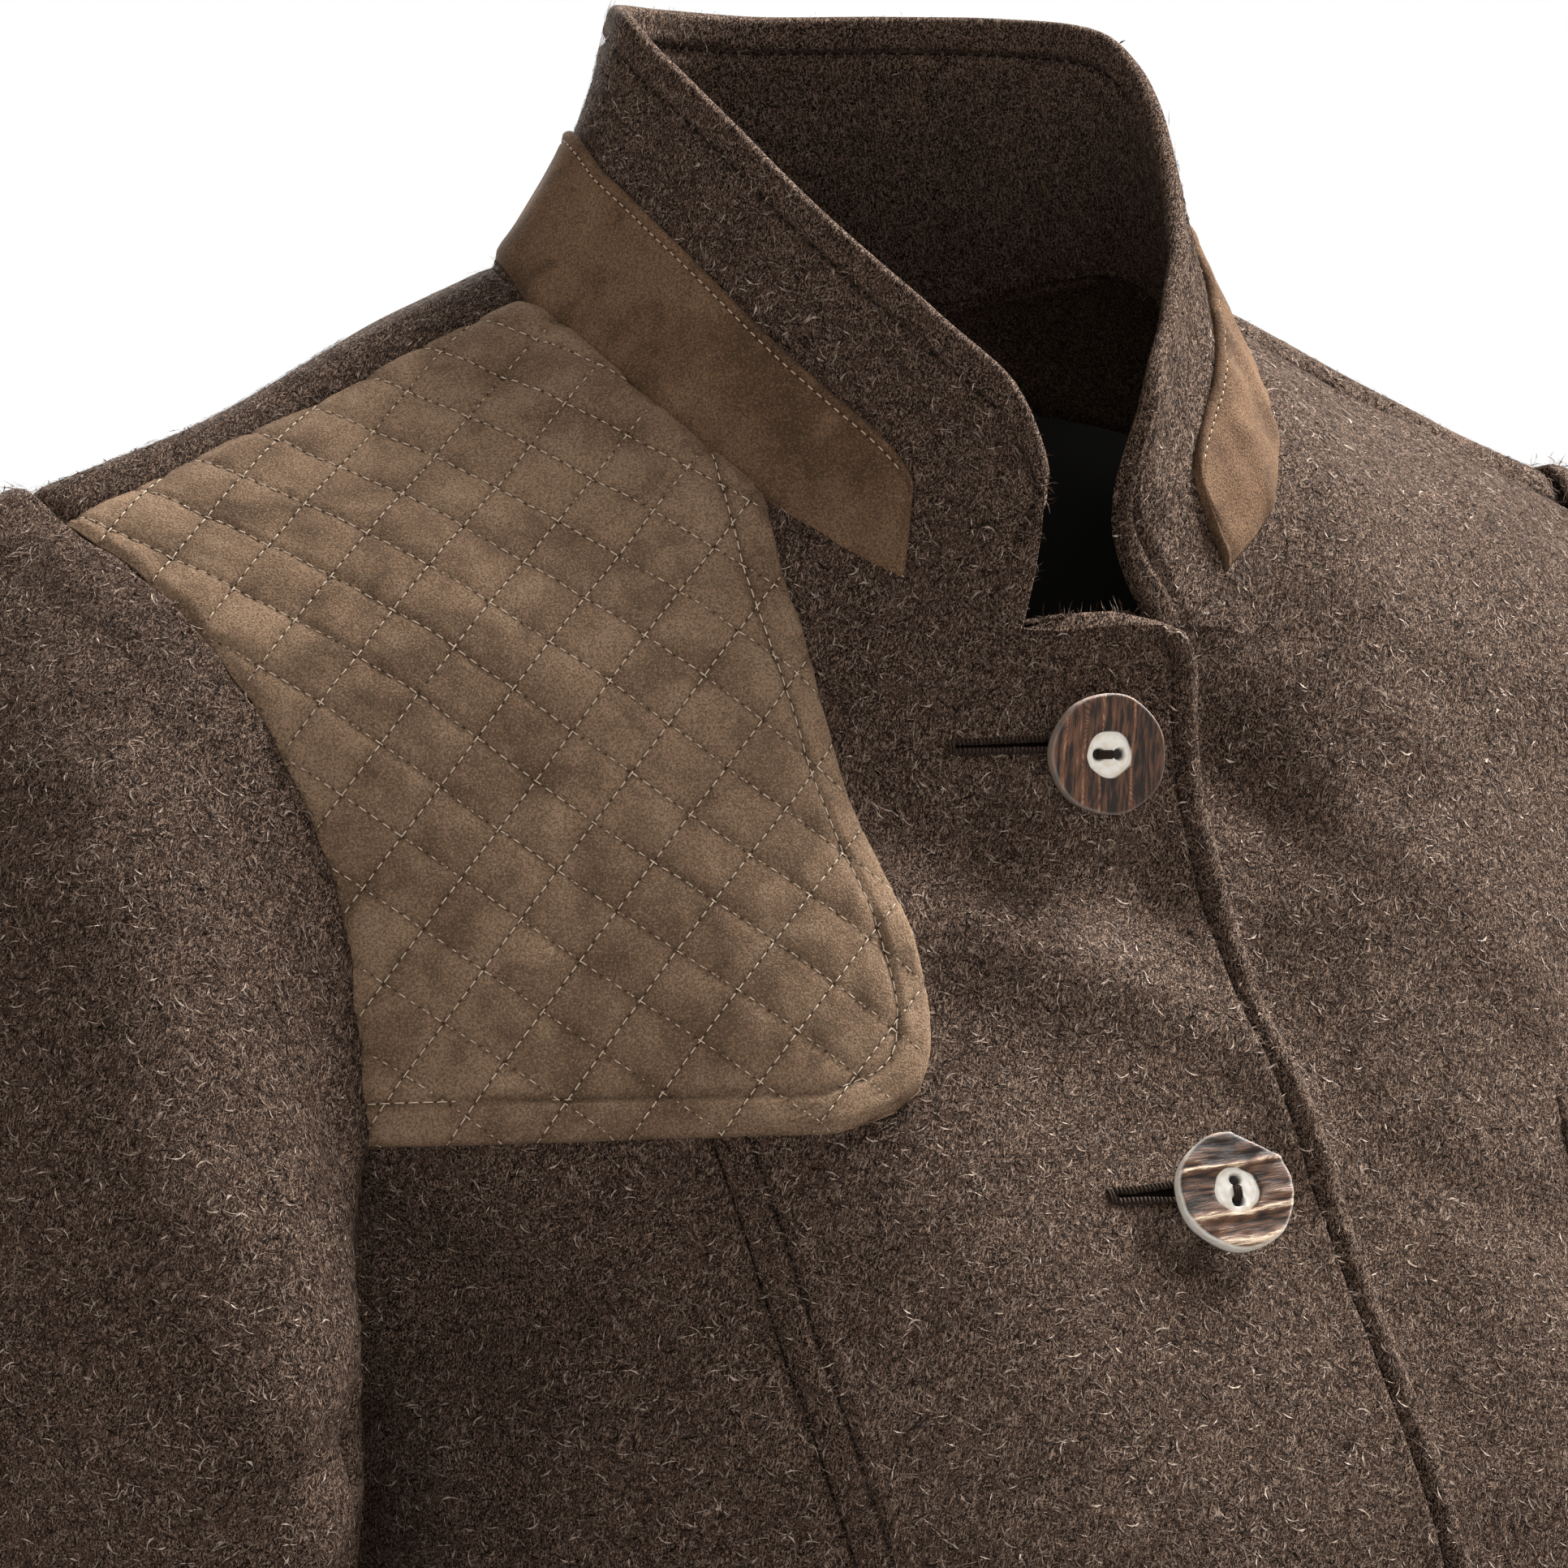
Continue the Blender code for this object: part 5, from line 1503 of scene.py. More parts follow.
def scatter(grid, normals, bare, rng):
    """Random points on a grid's cells, with their normals and how bare the cloth is there, from 0 to 1."""
    middle = sum([grid[:-1, :-1], grid[:-1, 1:], grid[1:, 1:], grid[1:, :-1]]) / 4
    wanted = cell_areas(grid) * fibre_density(middle, normals[:-1, :-1]) * (1 - bare[:-1, :-1])
    count = rng.poisson(wanted)
    rows, columns = (np.repeat(one.ravel(), count.ravel()) for one in np.indices(count.shape))
    u, v = rng.random((2, len(rows), 1))
    low = grid[rows, columns] * (1 - u) + grid[rows, columns + 1] * u
    high = grid[rows + 1, columns] * (1 - u) + grid[rows + 1, columns + 1] * u
    return low * (1 - v) + high * v, normals[rows, columns], bare[rows, columns]


def fibre_density(points, normals):
    """How many hairs a square mm has, in uneven clumps."""
    away = unit(points - CAMERA_SPOT)
    facing = -(away * normals).sum(-1)
    seen = in_view(points) & (facing > FACING_LIMIT)
    clumps = smooth_step(0.5 + CLUMP_CONTRAST * uneven(points, CLUMP_SIZE, 21))
    clumps = LEAST_SHARE + CLUMP_SHARE * clumps
    return np.where(seen, FIBRE_DENSITY * clumps, FAR_FIBRE_DENSITY)


def fibre_mesh(name, seats, normals, bare, rng):
    """Wavy hairs as narrow ribbons along the cloth. A few stand off it, and bare places have short ones."""
    count = len(seats)
    stands = rng.random(count) < STANDING_SHARE
    length = np.where(stands, rng.uniform(*STANDING_LENGTH, count), rng.uniform(*LYING_LENGTH, count))
    length = length * (1 - BARE_SHORTER * bare)
    curl = rng.choice([-1.0, 1.0], count) * rng.uniform(*CURL, count)
    turn = rng.uniform(0, 2 * math.pi, count)
    wave, phase = rng.uniform(*WAVE, count), rng.uniform(0, 2 * math.pi, count)
    spot = np.linspace(0, 1, FIBRE_POINTS)
    run = length[:, None] * spot
    heading = turn[:, None] + curl[:, None] * run + wave[:, None] * np.sin(run * WAVE_RATE + phase[:, None])
    step = length[:, None] / (FIBRE_POINTS - 1)
    ahead = np.cumsum(np.cos(heading) * step, axis=1)
    aside = np.cumsum(np.sin(heading) * step, axis=1)
    helper = np.where(np.abs(normals[:, 2:]) < 0.9, [[0.0, 0.0, 1.0]], [[1.0, 0.0, 0.0]])
    first = unit(np.cross(helper, normals))
    second = np.cross(normals, first)
    rise = np.where(stands, rng.uniform(*STANDING_RISE, count), rng.uniform(*LYING_RISE, count))
    lift = FIBRE_LIFT + rise[:, None] * np.sin(math.pi * (0.05 + 0.9 * spot))
    centre = seats[:, None] + ahead[..., None] * first[:, None] + aside[..., None] * second[:, None]
    centre = centre + lift[..., None] * normals[:, None]
    sideways = -np.sin(heading)[..., None] * first[:, None] + np.cos(heading)[..., None] * second[:, None]
    width = rng.uniform(*FIBRE_WIDTH, count)[:, None] * np.where(np.arange(FIBRE_POINTS) % 2, 1, -1) / 2
    points = centre + sideways * width[..., None]
    index = np.arange(count * FIBRE_POINTS).reshape(count, FIBRE_POINTS)
    faces = np.stack([index[:, :-2], index[:, 1:-1], index[:, 2:]], axis=-1)
    mesh = new_mesh(name, points.reshape(-1, 3), faces.reshape(-1, 3))
    tone = np.clip(rng.normal(TONE_MIDDLE, TONE_SPREAD, count), 0, 1)
    give(mesh, "tone", np.repeat(tone, FIBRE_POINTS))
    return mesh


def add_fibres(name, grid, normals, seed, bare):
    rng = np.random.default_rng(seed)
    mesh = fibre_mesh(name, *scatter(grid, normals, bare, rng), rng)
    return add_piece(name, mesh, WOOL_FIBRE)


# ---------------------------------------------------------------- lining and pocket

LINING_LOW_ROW, LINING_HIGH_ROW, LINING_SIDE, LINING_STEP = 3.0, 15.9, 0.86, 6.0
LINING_DEPTH = 4.3
# The lining follows this share of the cloth's folds, within these limits.
FOLLOWED_FOLDS, FOLLOWED_SHARE = (-1.0, 0.8), 0.5
# The satin's own folds, and the pleat where it is sewn to the yoke, which slants a little.
SATIN_FOLDS, SATIN_WRINKLES = 0.9, 0.35
YOKE_PLEAT, YOKE_PLEAT_HALF, YOKE_PLEAT_SHARE = 1.1, 1.2, 0.4
YOKE_Z, YOKE_SLANT = -48.0, 0.04
WELT_OUT, WELT_STEPS, WELT_ROLL, WELT_UNEVEN = 2.1, (1.0, 2.2), 1.3, 0.2
WELT_NEAR = [0, 0.12, 0.4, 0.8, 1.3]
# The rows between which the pocket's line is looked for, and how often they are halved
POCKET_ROWS, POCKET_HALVINGS = (7.0, 13.0), 18
WELT_SEED = 50


def both_backs(row, share):
    row, share = np.broadcast_arrays(np.asarray(row, float), np.asarray(share, float))
    right, left = (back_surface(side, row, np.abs(share)) for side in (RIGHT, LEFT))
    return np.where((share < 0)[..., None], right, left)


def add_lining():
    rows, limits = (LINING_LOW_ROW, LINING_HIGH_ROW), between(-LINING_SIDE, LINING_SIDE)
    steps, near = (LINING_STEP, LINING_STEP), [[0, 1.0]] * 4
    panel = cut_panel(both_backs, rows, limits, steps, near, BODY_CENTRE)
    points = panel.points
    folds = SATIN_FOLDS * uneven(points * [1, 1, 0.25], 26, 31) + SATIN_WRINKLES * uneven(points, 13, 32)
    pleat = YOKE_PLEAT * bump((points[..., 2] - YOKE_Z + YOKE_SLANT * points[..., 0]) / YOKE_PLEAT_HALF)
    followed = np.clip(body_relief(points), *FOLLOWED_FOLDS) * FOLLOWED_SHARE
    relief = followed - LINING_DEPTH - np.abs(folds) + pleat * YOKE_PLEAT_SHARE
    obj = add_inward_sheet("back_lining_satin", panel, relief, "lining", LINING)
    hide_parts("back_lining")
    declare_sheet(panel)


def pocket_surface(height, share):
    """The left front at a height from the pocket's slanting line."""
    height, share = np.broadcast_arrays(np.asarray(height, float), np.asarray(share, float))
    place = (share - POCKET_SHARES[0]) / (POCKET_SHARES[1] - POCKET_SHARES[0])
    wanted = POCKET_HEIGHTS[0] + (POCKET_HEIGHTS[1] - POCKET_HEIGHTS[0]) * place + height
    low, high = (np.full(share.shape, row) for row in POCKET_ROWS)
    for _ in range(POCKET_HALVINGS):
        middle = (low + high) / 2
        below = front_surface(LEFT, middle, share)[..., 2] < wanted
        low, high = np.where(below, middle, low), np.where(below, high, middle)
    return front_surface(LEFT, high, share)


def add_welts():
    limits, near = between(*POCKET_SHARES), [WELT_NEAR] * 4
    for node, heights in WELTS.items():
        panel = cut_panel(pocket_surface, heights, limits, WELT_STEPS, near, BODY_CENTRE)
        relief = body_relief(panel.points) + WELT_OUT + rolled(panel.edge, WELT_ROLL)
        relief += WELT_UNEVEN * uneven(panel.points, 14, 41)
        shell = open_shell(panel, relief, NARROW_TURNED_IN)
        obj = add_surface(f"{node}_wool", *shell, "wool", WOOL)
        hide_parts(node)
        seed, bare = WELT_SEED + int(heights[0] > 0), np.zeros_like(relief)
        fibres = add_fibres(f"{node}_fibres", panel.raised(relief), panel.normals, seed, bare)
        (width, length), area = cut_size(panel)


# ---------------------------------------------------------------- buttons

# How each button was sawn: the bark's direction in degrees, the depth of its grooves, its pale ridges as
# (place across the bark, half width) in mm, the way its flat cut faces, and whether its thread is upright.
Antler = namedtuple("Antler", "along depth ridges flat upright side_bark material")
BARK_GREY = horn_material("horn_grey", (182, 138, 104), (33, 21, 15), (114, 76, 54))
BARK_BANDED = horn_material("horn_banded", (240, 214, 184), (27, 16, 11), (114, 76, 52))
ANTLERS = [
    Antler(86, 0.35, [(-4.6, 0.35), (1.9, 0.22), (5.4, 0.3), (9.6, 0.5)], None, False, 0.78, BARK_GREY),
    Antler(7, 0.8, [(5.0, 0.6), (-4.6, 1.1), (-10.4, 2.0)], 62, True, 0.0, BARK_BANDED),
    Antler(12, 0.5, [(-2.0, 0.5), (6.5, 0.6)], None, False, 0.78, BARK_GREY),
    Antler(74, 0.7, [(-6.0, 1.2), (4.8, 0.9)], 200, True, 0.0, BARK_BANDED),
    Antler(95, 0.4, [(-7.6, 0.6), (3.4, 0.3)], None, False, 0.78, BARK_GREY),
]
BUTTON_SEGMENTS = 112
# Rings of points from the middle out: close together at the pith's edge and at the rim.
BUTTON_RINGS = [
    *np.arange(0.02, 3.9, 0.42),
    *(4.1, 4.35, 4.5, 4.6, 4.8),
    *np.arange(5.2, 11.0, 0.45),
    *(11.1, 11.4, 11.65, 11.85, 12.0),
]
# The rings below, as (share of the rim's radius, height)
UNDER_RINGS = [(1.0, 2.4), (1.0, 1.2), (0.985, 0.35), (0.94, 0.05), (0.6, 0.0), (0.02, 0.0)]
HOLE_RADIUS, HOLE_DEPTH, HOLE_SOFT = 1.15, 1.2, 0.25
# The distance of a flat cut face from the middle
FLAT_AT = 10.6
PITH_DEPTH, PITH_UNEVEN, PITH_LINE, PITH_EDGE, PITH_WAVE = 0.75, 0.12, 0.3, 0.25, 0.12
RIM_FROM, RIM_WIDTH, RIM_DROP = 11.3, 0.75, 0.7
# The rim's unevenness as shares of the radius: three slow waves and seven fast ones.
SLOW_WAVE, FAST_WAVE = 0.012, 0.008
# The bark is worn pale beyond this distance, most of all opposite this direction.
WORN_FROM, WORN_WIDTH, WORN_TURN = 11.5, 0.3, 50
# The bark's pattern is drawn out along the antler. Its sides have this much depth.
BARK_STRETCH, SIDE_DEPTH = 0.1, 0.6
# The thread through a button and the shank under it: offsets of their strands, radii, and heights.
THREAD_STRANDS, THREAD_RADIUS, THREAD_SINK = (-0.52, 0.0, 0.52), 0.4, 0.62
THREAD_PAST, THREAD_SHORTER = 0.1, 1.1
SHANK_STRANDS, SHANK_RADIUS, SHANK_LOW, SHANK_HIGH = (-1.2, 0.0, 1.2), 0.8, -4.6, 0.4
UPWARD, SIDEWAYS = np.array([[0.0, 0.0, 1.0]]), np.array([[1.0, 0.0, 0.0]])


def along_bark(x, y, antler):
    """Places along and across the antler."""
    angle = math.radians(antler.along)
    return x * math.cos(angle) + y * math.sin(angle), y * math.cos(angle) - x * math.sin(angle)


def bark_height(x, y, antler, seed):
    """Long grooves and ridges along the antler, from 0 to 1."""
    along, across = along_bark(x, y, antler)
    across = across + 0.2 * np.sin(along * 0.4 + seed)
    place = np.stack([along * BARK_STRETCH, across, np.zeros_like(x)], axis=-1)
    height = 0.36 + 0.2 * uneven(place, 2.6, seed) + 0.2 * uneven(place * [2.0, 1, 1], 1.1, seed + 1)
    for spot, half in antler.ridges:
        ragged = half * (1 + 0.3 * uneven(np.stack([along, across * 0, across * 0], axis=-1), 3.0, seed + 2))
        height = np.maximum(height, 0.92 * bump((across - spot) / ragged) + 0.08 * height)
    return np.clip(height, 0, 1)


def button_mesh(name, number, antler):
    radii = np.array(BUTTON_RINGS)[:, None]
    angle = np.arange(BUTTON_SEGMENTS) * 2 * math.pi / BUTTON_SEGMENTS
    slow, fast = SLOW_WAVE * np.sin(3 * angle + number), FAST_WAVE * np.sin(7 * angle + 2 * number)
    rim = BUTTON_RADIUS * (1 - SLOW_WAVE - slow - fast)
    if antler.flat is not None:
        off = np.cos(angle - math.radians(antler.flat))
        rim = np.minimum(rim, FLAT_AT / np.maximum(off, 0.4))
    grow = radii / BUTTON_RADIUS
    grow = np.where(radii > PITH_RADIUS + 0.2, grow * rim / BUTTON_RADIUS, grow * np.ones_like(rim))
    x, y = grow * BUTTON_RADIUS * np.cos(angle), grow * BUTTON_RADIUS * np.sin(angle)
    bark = smooth_step((radii - PITH_RADIUS + 0.05 + PITH_WAVE * np.sin(5 * angle)) / PITH_EDGE)
    worn = smooth_step((radii - WORN_FROM) / WORN_WIDTH)
    worn = worn * (0.5 - 0.5 * np.cos(angle - math.radians(WORN_TURN)))
    height = bark_height(x, y, antler, 60 + 2 * number)
    top = BUTTON_THICKNESS - antler.depth * (1 - height)
    pith = BUTTON_THICKNESS - PITH_DEPTH + PITH_UNEVEN * uneven(np.stack([x, y, x * 0], -1), 2.4, 70)
    top = top * bark + pith * (1 - bark)
    top -= PITH_LINE * bump((radii - PITH_RADIUS) / PITH_LINE)
    top -= RIM_DROP * (1 - np.sqrt(1 - np.clip((radii - RIM_FROM) / RIM_WIDTH, 0, 1) ** 2))
    hole = np.zeros_like(x)
    for side in (-1, 1):
        spot = (0, side * THREAD_HOLE_SPACING / 2) if antler.upright else (side * THREAD_HOLE_SPACING / 2, 0)
        distance = np.hypot(x - spot[0], y - spot[1])
        hole = np.maximum(hole, 1 - smooth_step((distance - HOLE_RADIUS + HOLE_SOFT) / (2 * HOLE_SOFT)))
    top -= HOLE_DEPTH * hole
    rings = [np.stack([x, y, top], axis=-1)]
    for shrink, z in UNDER_RINGS:
        ring = np.stack([x[-1] * shrink, y[-1] * shrink, np.full_like(angle, z)], axis=-1)
        rings.append(ring[None])
    points = np.concatenate(rings)
    rows = len(points)
    index = np.arange(rows * BUTTON_SEGMENTS).reshape(rows, BUTTON_SEGMENTS)
    turned = np.roll(index, -1, axis=1)
    faces = np.stack([index[:-1], index[1:], turned[1:], turned[:-1]], axis=-1).reshape(-1, 4)
    mesh = new_mesh(name, points.reshape(-1, 3), faces)
    bark = bark * (1 - (1 - antler.side_bark) * worn)
    below = np.zeros(len(UNDER_RINGS) * BUTTON_SEGMENTS)
    # The hole mask dents the face and paints shade into the thread holes.
    values = {"bark": (bark, antler.side_bark), "depth": (height, SIDE_DEPTH), "hole": (hole, 0)}
    for key, (above, under) in values.items():
        give(mesh, key, np.concatenate([above.ravel(), below + under]))
    along, across = along_bark(points[..., 0], points[..., 1], antler)
    give(mesh, "along", along * BARK_STRETCH * MM)
    give(mesh, "across", across * MM)
    return mesh


def add_button(number, seat, face, antler):
    name = f"button_{number}_horn"
    obj = add_piece(name, button_mesh(name, number, antler), antler.material)
    turn = Vector(face).to_track_quat("Z", "Y").to_matrix().to_4x4()
    place = Matrix.Translation(Vector(seat) * MM) @ turn
    obj.matrix_world = place
    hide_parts(f"button_{number}")
    reach = THREAD_HOLE_SPACING / 2 + THREAD_PAST
    ends = []
    for strand in THREAD_STRANDS:
        start, end = np.array([-reach, strand, 0.0]), np.array([reach - THREAD_SHORTER, strand, 0.0])
        if antler.upright:
            start, end = start[[1, 0, 2]], end[[1, 0, 2]]
        lift = np.array([0, 0, BUTTON_THICKNESS - THREAD_SINK])
        ends.append(((start + lift)[None], (end + lift)[None], UPWARD))
    thread = add_stitches(f"button_{number}_thread", ends, THREAD_RADIUS, HOLE_THREAD, "horn")
    thread.matrix_world = place
    ends = [(np.array([[x, 0, SHANK_LOW]]), np.array([[x, 0, SHANK_HIGH]]), SIDEWAYS) for x in SHANK_STRANDS]
    shank = add_stitches(f"button_{number}_shank", ends, SHANK_RADIUS, HOLE_THREAD, "horn")
    shank.matrix_world = place


# ---------------------------------------------------------------- buttonholes

# How far out each buttonhole ends, how much higher than its button it lies, and half of how far it gapes
# beside its button.
Hole = namedtuple("Hole", "end rise gape")
HOLES = [Hole(36.0, 2.0, 0.12), Hole(28.0, 0.4, 0.6), *[Hole(36.0, 0.4, 0.12)] * 3]
HOLE_FROM = 9.0
PURL_STEP, PURL_REACH, PURL_RADIUS, PURL_RISE, PURL_SLANT = 0.95, 0.8, 0.34, 0.15, 0.3
# The slit's half width and its height on the cloth. It closes over a stretch before its end.
SLIT_HALF, SLIT_RISE, SLIT_CLOSED, SLIT_CLOSING = 0.18, 0.3, 3, 16
# The dark strip of painted shade in the slit reaches a little under the stitches.
STRIP_WIDER = 1.2
# The bar across the end: where its two stitches lie past it, and half its height.
BAR_PLACES, BAR_HALF = (0.2, 0.9), 1.7


def on_cloth(grid, normals, x, z):
    """Points of a grid of cloth at the given x and z, with their normals."""
    points, ways = grid.reshape(-1, 3), normals.reshape(-1, 3)
    found = []
    for one_x, one_z in zip(x, z):
        nearest = np.argmin((points[:, 0] - one_x) ** 2 + (points[:, 2] - one_z) ** 2)
        point, way = points[nearest], ways[nearest]
        y = point[1] - (way[0] * (one_x - point[0]) + way[2] * (one_z - point[2])) / way[1]
        found.append((one_x, y, one_z, *way))
    found = np.array(found)
    return found[:, :3], found[:, 3:]


def add_buttonhole(number, seat, hole, grid, normals):
    outs = np.arange(HOLE_FROM, hole.end, PURL_STEP)
    z = np.full_like(outs, seat[2] + hole.rise)
    half = SLIT_HALF + hole.gape * smooth_step((hole.end - SLIT_CLOSED - outs) / SLIT_CLOSING)
    ends = []
    for row in (-1, 1):
        near, way = on_cloth(grid, normals, -outs, z + row * half)
        far, _ = on_cloth(grid, normals, -outs - PURL_SLANT, z + row * (half + 2 * PURL_REACH))
        ends.append((near, far, way))
    bar_x = -np.array([hole.end + place for place in BAR_PLACES])
    low, way = on_cloth(grid, normals, bar_x, z[:2] - BAR_HALF)
    high, _ = on_cloth(grid, normals, bar_x, z[:2] + BAR_HALF)
    ends.append((low, high, way))
    add_stitches(f"buttonhole_{number}", ends, PURL_RADIUS, HOLE_THREAD, "wool", sink=-PURL_RISE)
    # The slit's gap is a near-black strip lying on the cloth: painted shade.
    edges = [on_cloth(grid, normals, -outs, z + row * half * STRIP_WIDER) for row in (-1, 1)]
    strip = np.stack([points + way * SLIT_RISE for points, way in edges], axis=1)
    add_surface(f"buttonhole_{number}_slit", strip, grid_faces(*strip.shape[:2]), "wool", SLIT_PAINTED_SHADE)


# ---------------------------------------------------------------- putting it together


# How bare a groove is and the half width of that, and how bare it is round buttonholes and buttons, in mm.
GROOVE_BARE, GROOVE_BARE_HALF = 0.9, 0.9
HOLE_BARE_HALF, HOLE_BARE_PAST, BUTTON_BARE = 2.2, 1, 9
# Hairs end this far inside the patch's edge, in rows and in shares of a row.
PATCH_OVER_ROWS, PATCH_OVER_SHARE = 0.03, 0.012
FIRST_FIBRE_SEED, COLLAR_FIBRE_SEED, COLLAR_INNER_SEED = 100, 201, 202
# Stitching stops this much of a row below the corner that it runs to.
STITCHES_END = 0.2


def pressed_share(cloth):
    """Where a cloth's hairs are missing, from 0 to 1: in its grooves, by the buttons and under the patch."""
    panel = cloth.panel
    bare = np.zeros(panel.points.shape[:2])
    if cloth.name == "front_right":
        x, z = panel.points[..., 0], panel.points[..., 2]
        for (seat, _), hole in zip(BUTTON_SPOTS, HOLES):
            at_hole = (x > -hole.end - HOLE_BARE_PAST) & (x < seat[0])
            at_hole &= np.abs(z - seat[2] - hole.rise) < HOLE_BARE_HALF
            by_button = np.linalg.norm(panel.points - seat, axis=-1) < BUTTON_BARE
            bare = np.maximum(bare, at_hole | by_button)
    if cloth.name.startswith("front_"):
        below_neck, below_armhole = panel.rows < NECK_ROW, panel.rows < PRINCESS_SEAM[-1].row
        for distance, at, where in (
            (panel.start, STITCH_LINE, below_neck),
            (panel.end, SEAM_STITCH_LINE, below_armhole),
            (panel.end, 0.0, below_armhole),
        ):
            bare = np.maximum(bare, GROOVE_BARE * bump((distance - at) / GROOVE_BARE_HALF) * where)
    if cloth.name.startswith("side_front_"):
        bare = np.maximum(bare, GROOVE_BARE * bump(panel.start / GROOVE_BARE_HALF))
    if cloth.name in ("front_right", "side_front_right"):
        start, _ = patch_share_range(np.maximum(panel.rows[:, 0], PATCH_LOW_ROW))
        covered = panel.columns > start[:, None] + PATCH_OVER_SHARE
        covered &= panel.rows > PATCH_LOW_ROW + PATCH_OVER_ROWS
        bare = np.where(covered, 1.0, bare)
    return bare


def add_front_stitches(cloth):
    rows = cloth.panel.rows[:, 0]
    below_neck, below_armhole = rows < NECK_ROW - STITCHES_END, rows < PRINCESS_SEAM[-1].row - STITCHES_END
    runs = [wool_seam_ends(cloth, "start", STITCH_LINE, below_neck)]
    runs.append(wool_seam_ends(cloth, "end", SEAM_STITCH_LINE, below_armhole))
    return add_wool_stitches(f"{cloth.name}_stitches", runs)


def add_wool(cloth, seed):
    stitches = [add_front_stitches(cloth)] if cloth.name.startswith("front_") else []
    grid = displaced(cloth)
    shell = open_shell(cloth.panel, cloth.relief, seams=SEAM_SIDES[cloth.name.split("_")[0]])
    obj = add_surface(f"{cloth.name}_wool", *shell, "wool", WOOL)
    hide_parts(cloth.name)
    inside = add_inner(cloth)
    normals = grid_normals(grid, cloth.panel.far_behind)
    fibres = add_fibres(f"{cloth.name}_fibres", grid, normals, seed, pressed_share(cloth))
    declare_sheet(cloth.panel)


def add_buttons(front):
    """The buttons, and the buttonholes in the right front."""
    grid, normals = displaced(front), front.panel.normals
    for number, ((seat, face), antler, hole) in enumerate(zip(BUTTON_SPOTS, ANTLERS, HOLES), 1):
        add_button(number, seat, face, antler)
        add_buttonhole(number, seat, hole, grid, normals)


def add_patch():
    panel = patch_panel()
    rim = patch_rim(panel)
    height, pressed = patch_relief(panel, rim)
    relief = height + PATCH_OUT + body_waves(panel.points)
    points, faces = open_shell(panel, relief, NARROW_TURNED_IN)
    mesh = new_mesh("shoulder_patch_suede", points, faces)
    # The pressed share darkens the suede: pressed nap and painted crease shade.
    give(mesh, "pressed", np.concatenate([pressed.ravel(), np.zeros(len(points) - pressed.size)]))
    obj = add_piece("shoulder_patch_suede", mesh, QUILTED_SUEDE)
    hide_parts("shoulder_patch")
    grid = panel.raised(relief)
    normals = grid_normals(grid, BODY_CENTRE)
    ends = [*quilt_ends(panel, grid, normals), border_ends(rim, grid, normals)]
    radius, slot = PATCH_STITCH_RADIUS, "quilted_suede"
    quilting = add_stitches("shoulder_patch_quilting", ends, radius, PATCH_THREAD, slot)
    holes = add_needle_holes("shoulder_patch_holes", ends, PATCH_HOLE_RADIUS, slot)
    declare_sheet(panel)


def add_dressed_collar():
    """The collar with its hairs and its stitches."""
    obj, panel, outer, inner = add_collar()
    bare = COLLAR_EDGE_BARE * (1 - smooth_step(panel.free_edge / COLLAR_BARE_REACH))
    hairs = add_fibres("collar_fibres", outer, panel.normals, COLLAR_FIBRE_SEED, bare)
    bare = np.maximum(bare, INNER_BARE)
    inner_hairs = add_fibres("collar_inner_fibres", inner, -panel.normals, COLLAR_INNER_SEED, bare)
    runs = []
    for grid, facing in ((outer, panel.normals), (inner, -panel.normals)):
        line, ways = level_crossings(panel.free_edge, grid, facing, COLLAR_STITCH)
        runs.append(stitch_ends(line, ways, WOOL_STITCH, WOOL_STITCH_GAP))
    thread = add_wool_stitches("collar_stitches", runs)
    declare_sheet(panel)


def add_collar_suede():
    panel = suede_panel()
    relief = suede_relief(panel)
    shell = open_shell(panel, relief, NARROW_TURNED_IN)
    obj = add_surface("collar_suede_band", *shell, "suede", COLLAR_SUEDE)
    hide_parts("collar_suede")
    line, ways = level_crossings(panel.free_edge, panel.raised(relief), panel.normals, SUEDE_STITCH)
    ends = [stitch_ends(line, ways, SUEDE_STITCH_LENGTH, SUEDE_STITCH_GAP)]
    thread = add_stitches("collar_suede_stitches", ends, SUEDE_STITCH_RADIUS, SUEDE_THREAD, "suede")
    holes = add_needle_holes("collar_suede_holes", ends, SUEDE_HOLE_RADIUS, "suede")
    declare_sheet(panel)


cloths = wool_cloths()
for seed, cloth in enumerate(cloths, FIRST_FIBRE_SEED):
    add_wool(cloth, seed)
add_buttons(cloths[0])
add_patch()
add_dressed_collar()
add_collar_suede()
add_lining()
add_welts()

# ---------------------------------------------------------------- camera, light and floor

FLOOR_Z, FLOOR_RADIUS, FLOOR_SEGMENTS = -0.70, 7.0, 96
FLOOR_GREYS = (0.82, 0.82, 0.82, 1), (0.86, 0.86, 0.86, 1)
ROOM_LIGHT, ROOM_COLOUR = 0.68, (1.0, 0.96, 0.92, 1)
# Where each light stands and what it looks at, in metres. spread narrows its beam, in degrees.
Light = namedtuple("Light", "name spot aim size power spread colour")
LIGHTS = [Light(*row) for row in (
    ("key", (0.51, 0.02, 0.46), (0.13, -0.03, 0.07), 0.45, 3.0, 30, (1.0, 0.98, 0.95)),
    ("fill", (-0.9, -1.6, -0.45), (-0.05, -0.05, -0.15), 1.4, 4.8, 180, (1.0, 0.97, 0.94)),
    ("rim", (0.35, 1.25, 0.55), (-0.02, 0.0, -0.05), 0.5, 26.0, 180, (1.0, 0.98, 0.96)),
)]


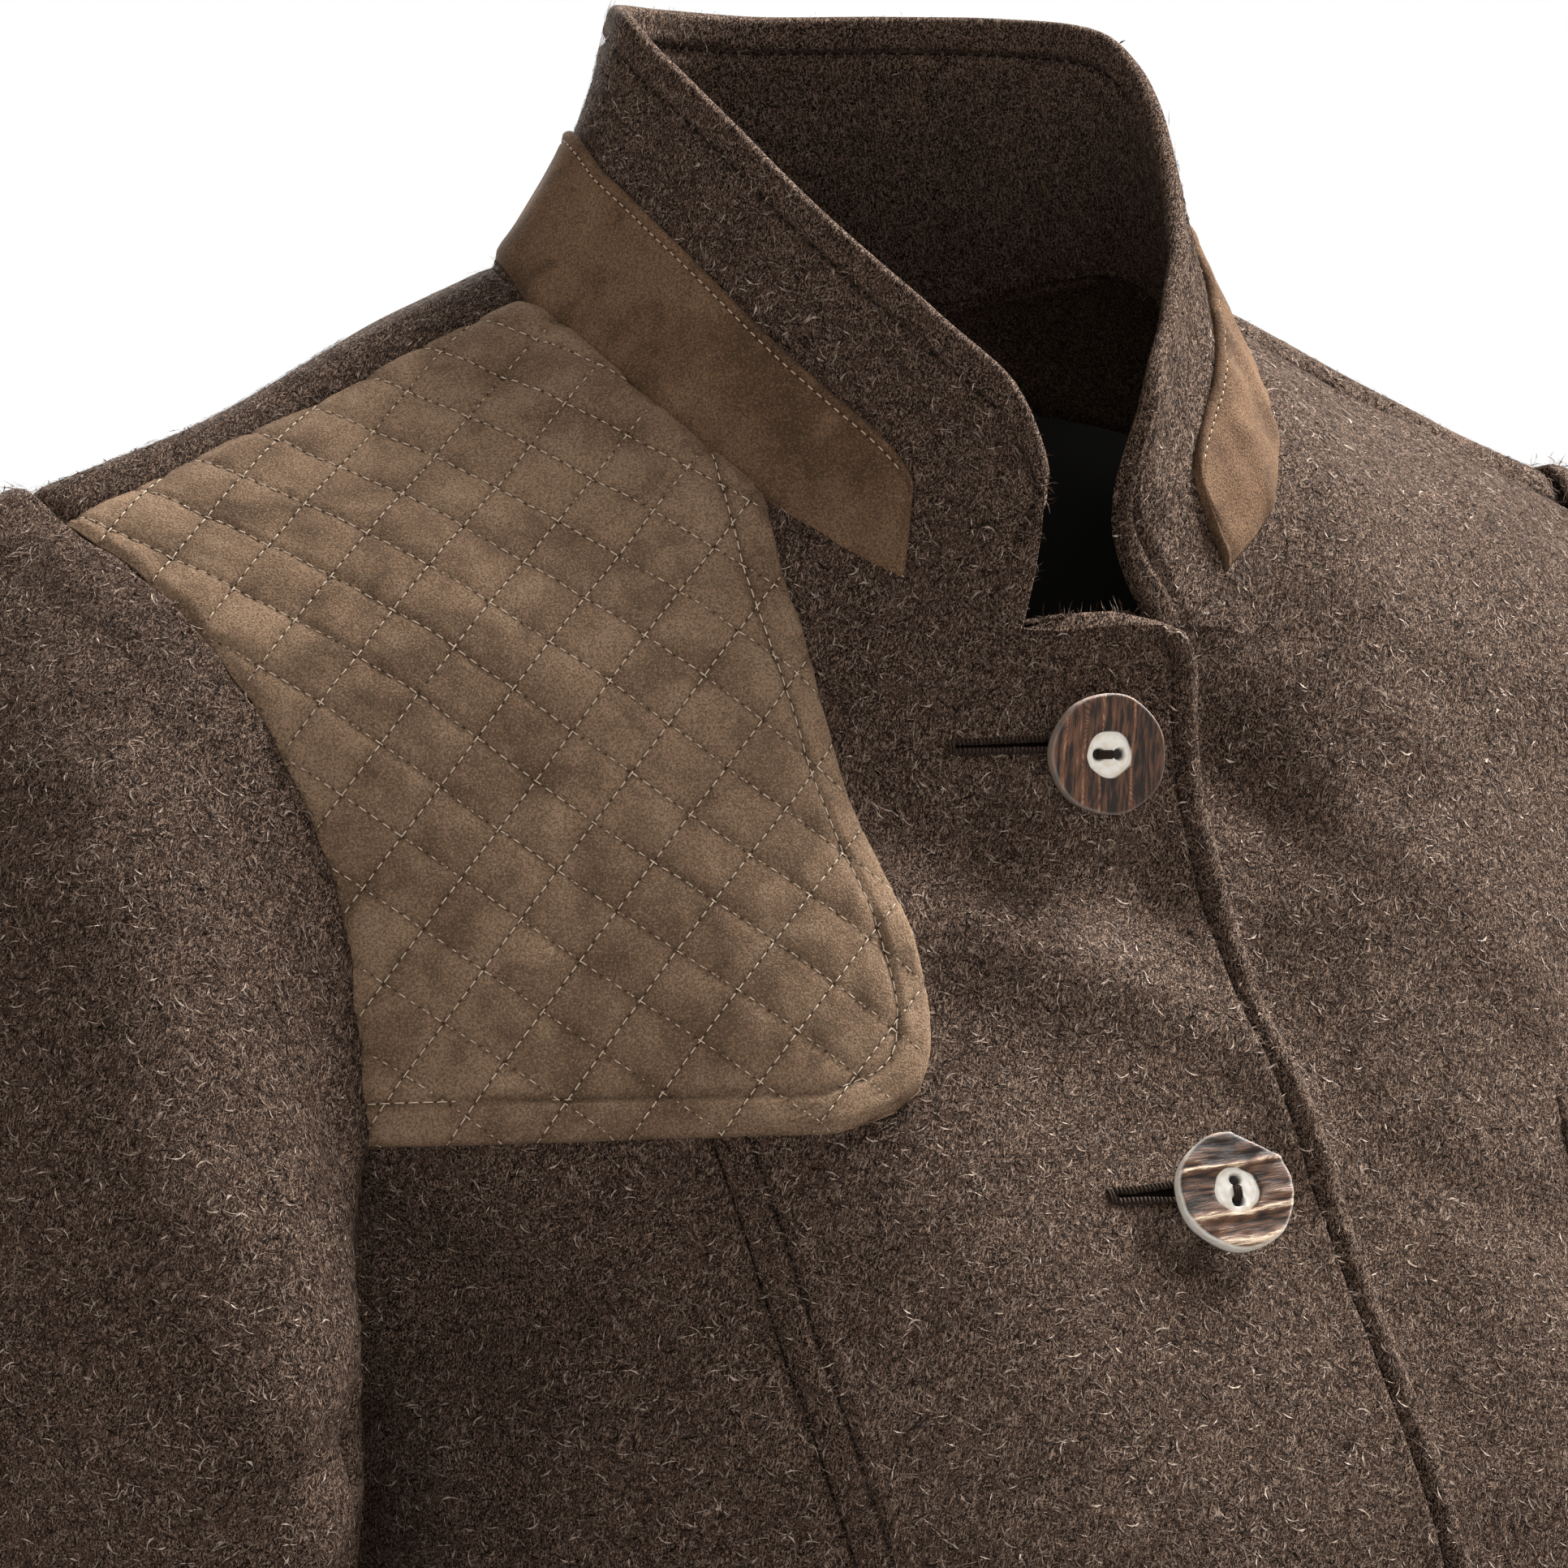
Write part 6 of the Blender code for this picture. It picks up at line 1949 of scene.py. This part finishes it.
def add_light(light):
    """A square soft light."""
    data = bpy.data.lights.new(light.name, "AREA")
    data.shape, data.size, data.energy, data.color = "SQUARE", light.size, light.power, light.colour
    data.spread = math.radians(light.spread)
    obj = bpy.data.objects.new(light.name, data)
    obj.location = light.spot
    obj.rotation_euler = (Vector(light.spot) - Vector(light.aim)).to_track_quat("Z", "Y").to_euler()
    bpy.context.scene.collection.objects.link(obj)


def add_world():
    """A pale room light, seen as plain white."""
    world = bpy.data.worlds.new("studio")
    world.use_nodes = True
    tree = world.node_tree
    tree.nodes.clear()
    room = add_node(tree, "ShaderNodeBackground", {"Color": ROOM_COLOUR, "Strength": ROOM_LIGHT})
    white = add_node(tree, "ShaderNodeBackground", {"Color": (1, 1, 1, 1), "Strength": 1.0})
    seen = add_node(tree, "ShaderNodeLightPath").outputs["Is Camera Ray"]
    mixed = add_node(tree, "ShaderNodeMixShader", {0: seen, 1: room.outputs[0], 2: white.outputs[0]})
    output = add_node(tree, "ShaderNodeOutputWorld")
    tree.links.new(mixed.outputs[0], output.inputs[0])
    bpy.context.scene.world = world


def add_floor():
    shape = {"vertices": FLOOR_SEGMENTS, "radius": FLOOR_RADIUS, "fill_type": "NGON"}
    bpy.ops.mesh.primitive_circle_add(location=(0, 0, FLOOR_Z), **shape)
    floor = bpy.context.object
    floor.name = "floor"
    made, tree, shader = new_material("pale_floor", Roughness=0.9)
    paint(tree, shader, mix_colour(tree, noise(tree, place_of(tree), 900), *FLOOR_GREYS))
    floor.data.materials.append(made)


def add_camera():
    camera = bpy.data.cameras.new("camera")
    camera.lens, camera.sensor_width = LENS, SENSOR
    obj = bpy.data.objects.new("camera", camera)
    obj.location = Vector(CAMERA_SPOT) * MM
    obj.rotation_euler = Vector(CAMERA_WAY).to_track_quat("-Z", "Y").to_euler()
    bpy.context.scene.collection.objects.link(obj)
    bpy.context.scene.camera = obj


add_camera()
add_world()
for light in LIGHTS:
    add_light(light)
add_floor()
bpy.context.scene.view_settings.view_transform = "Standard"
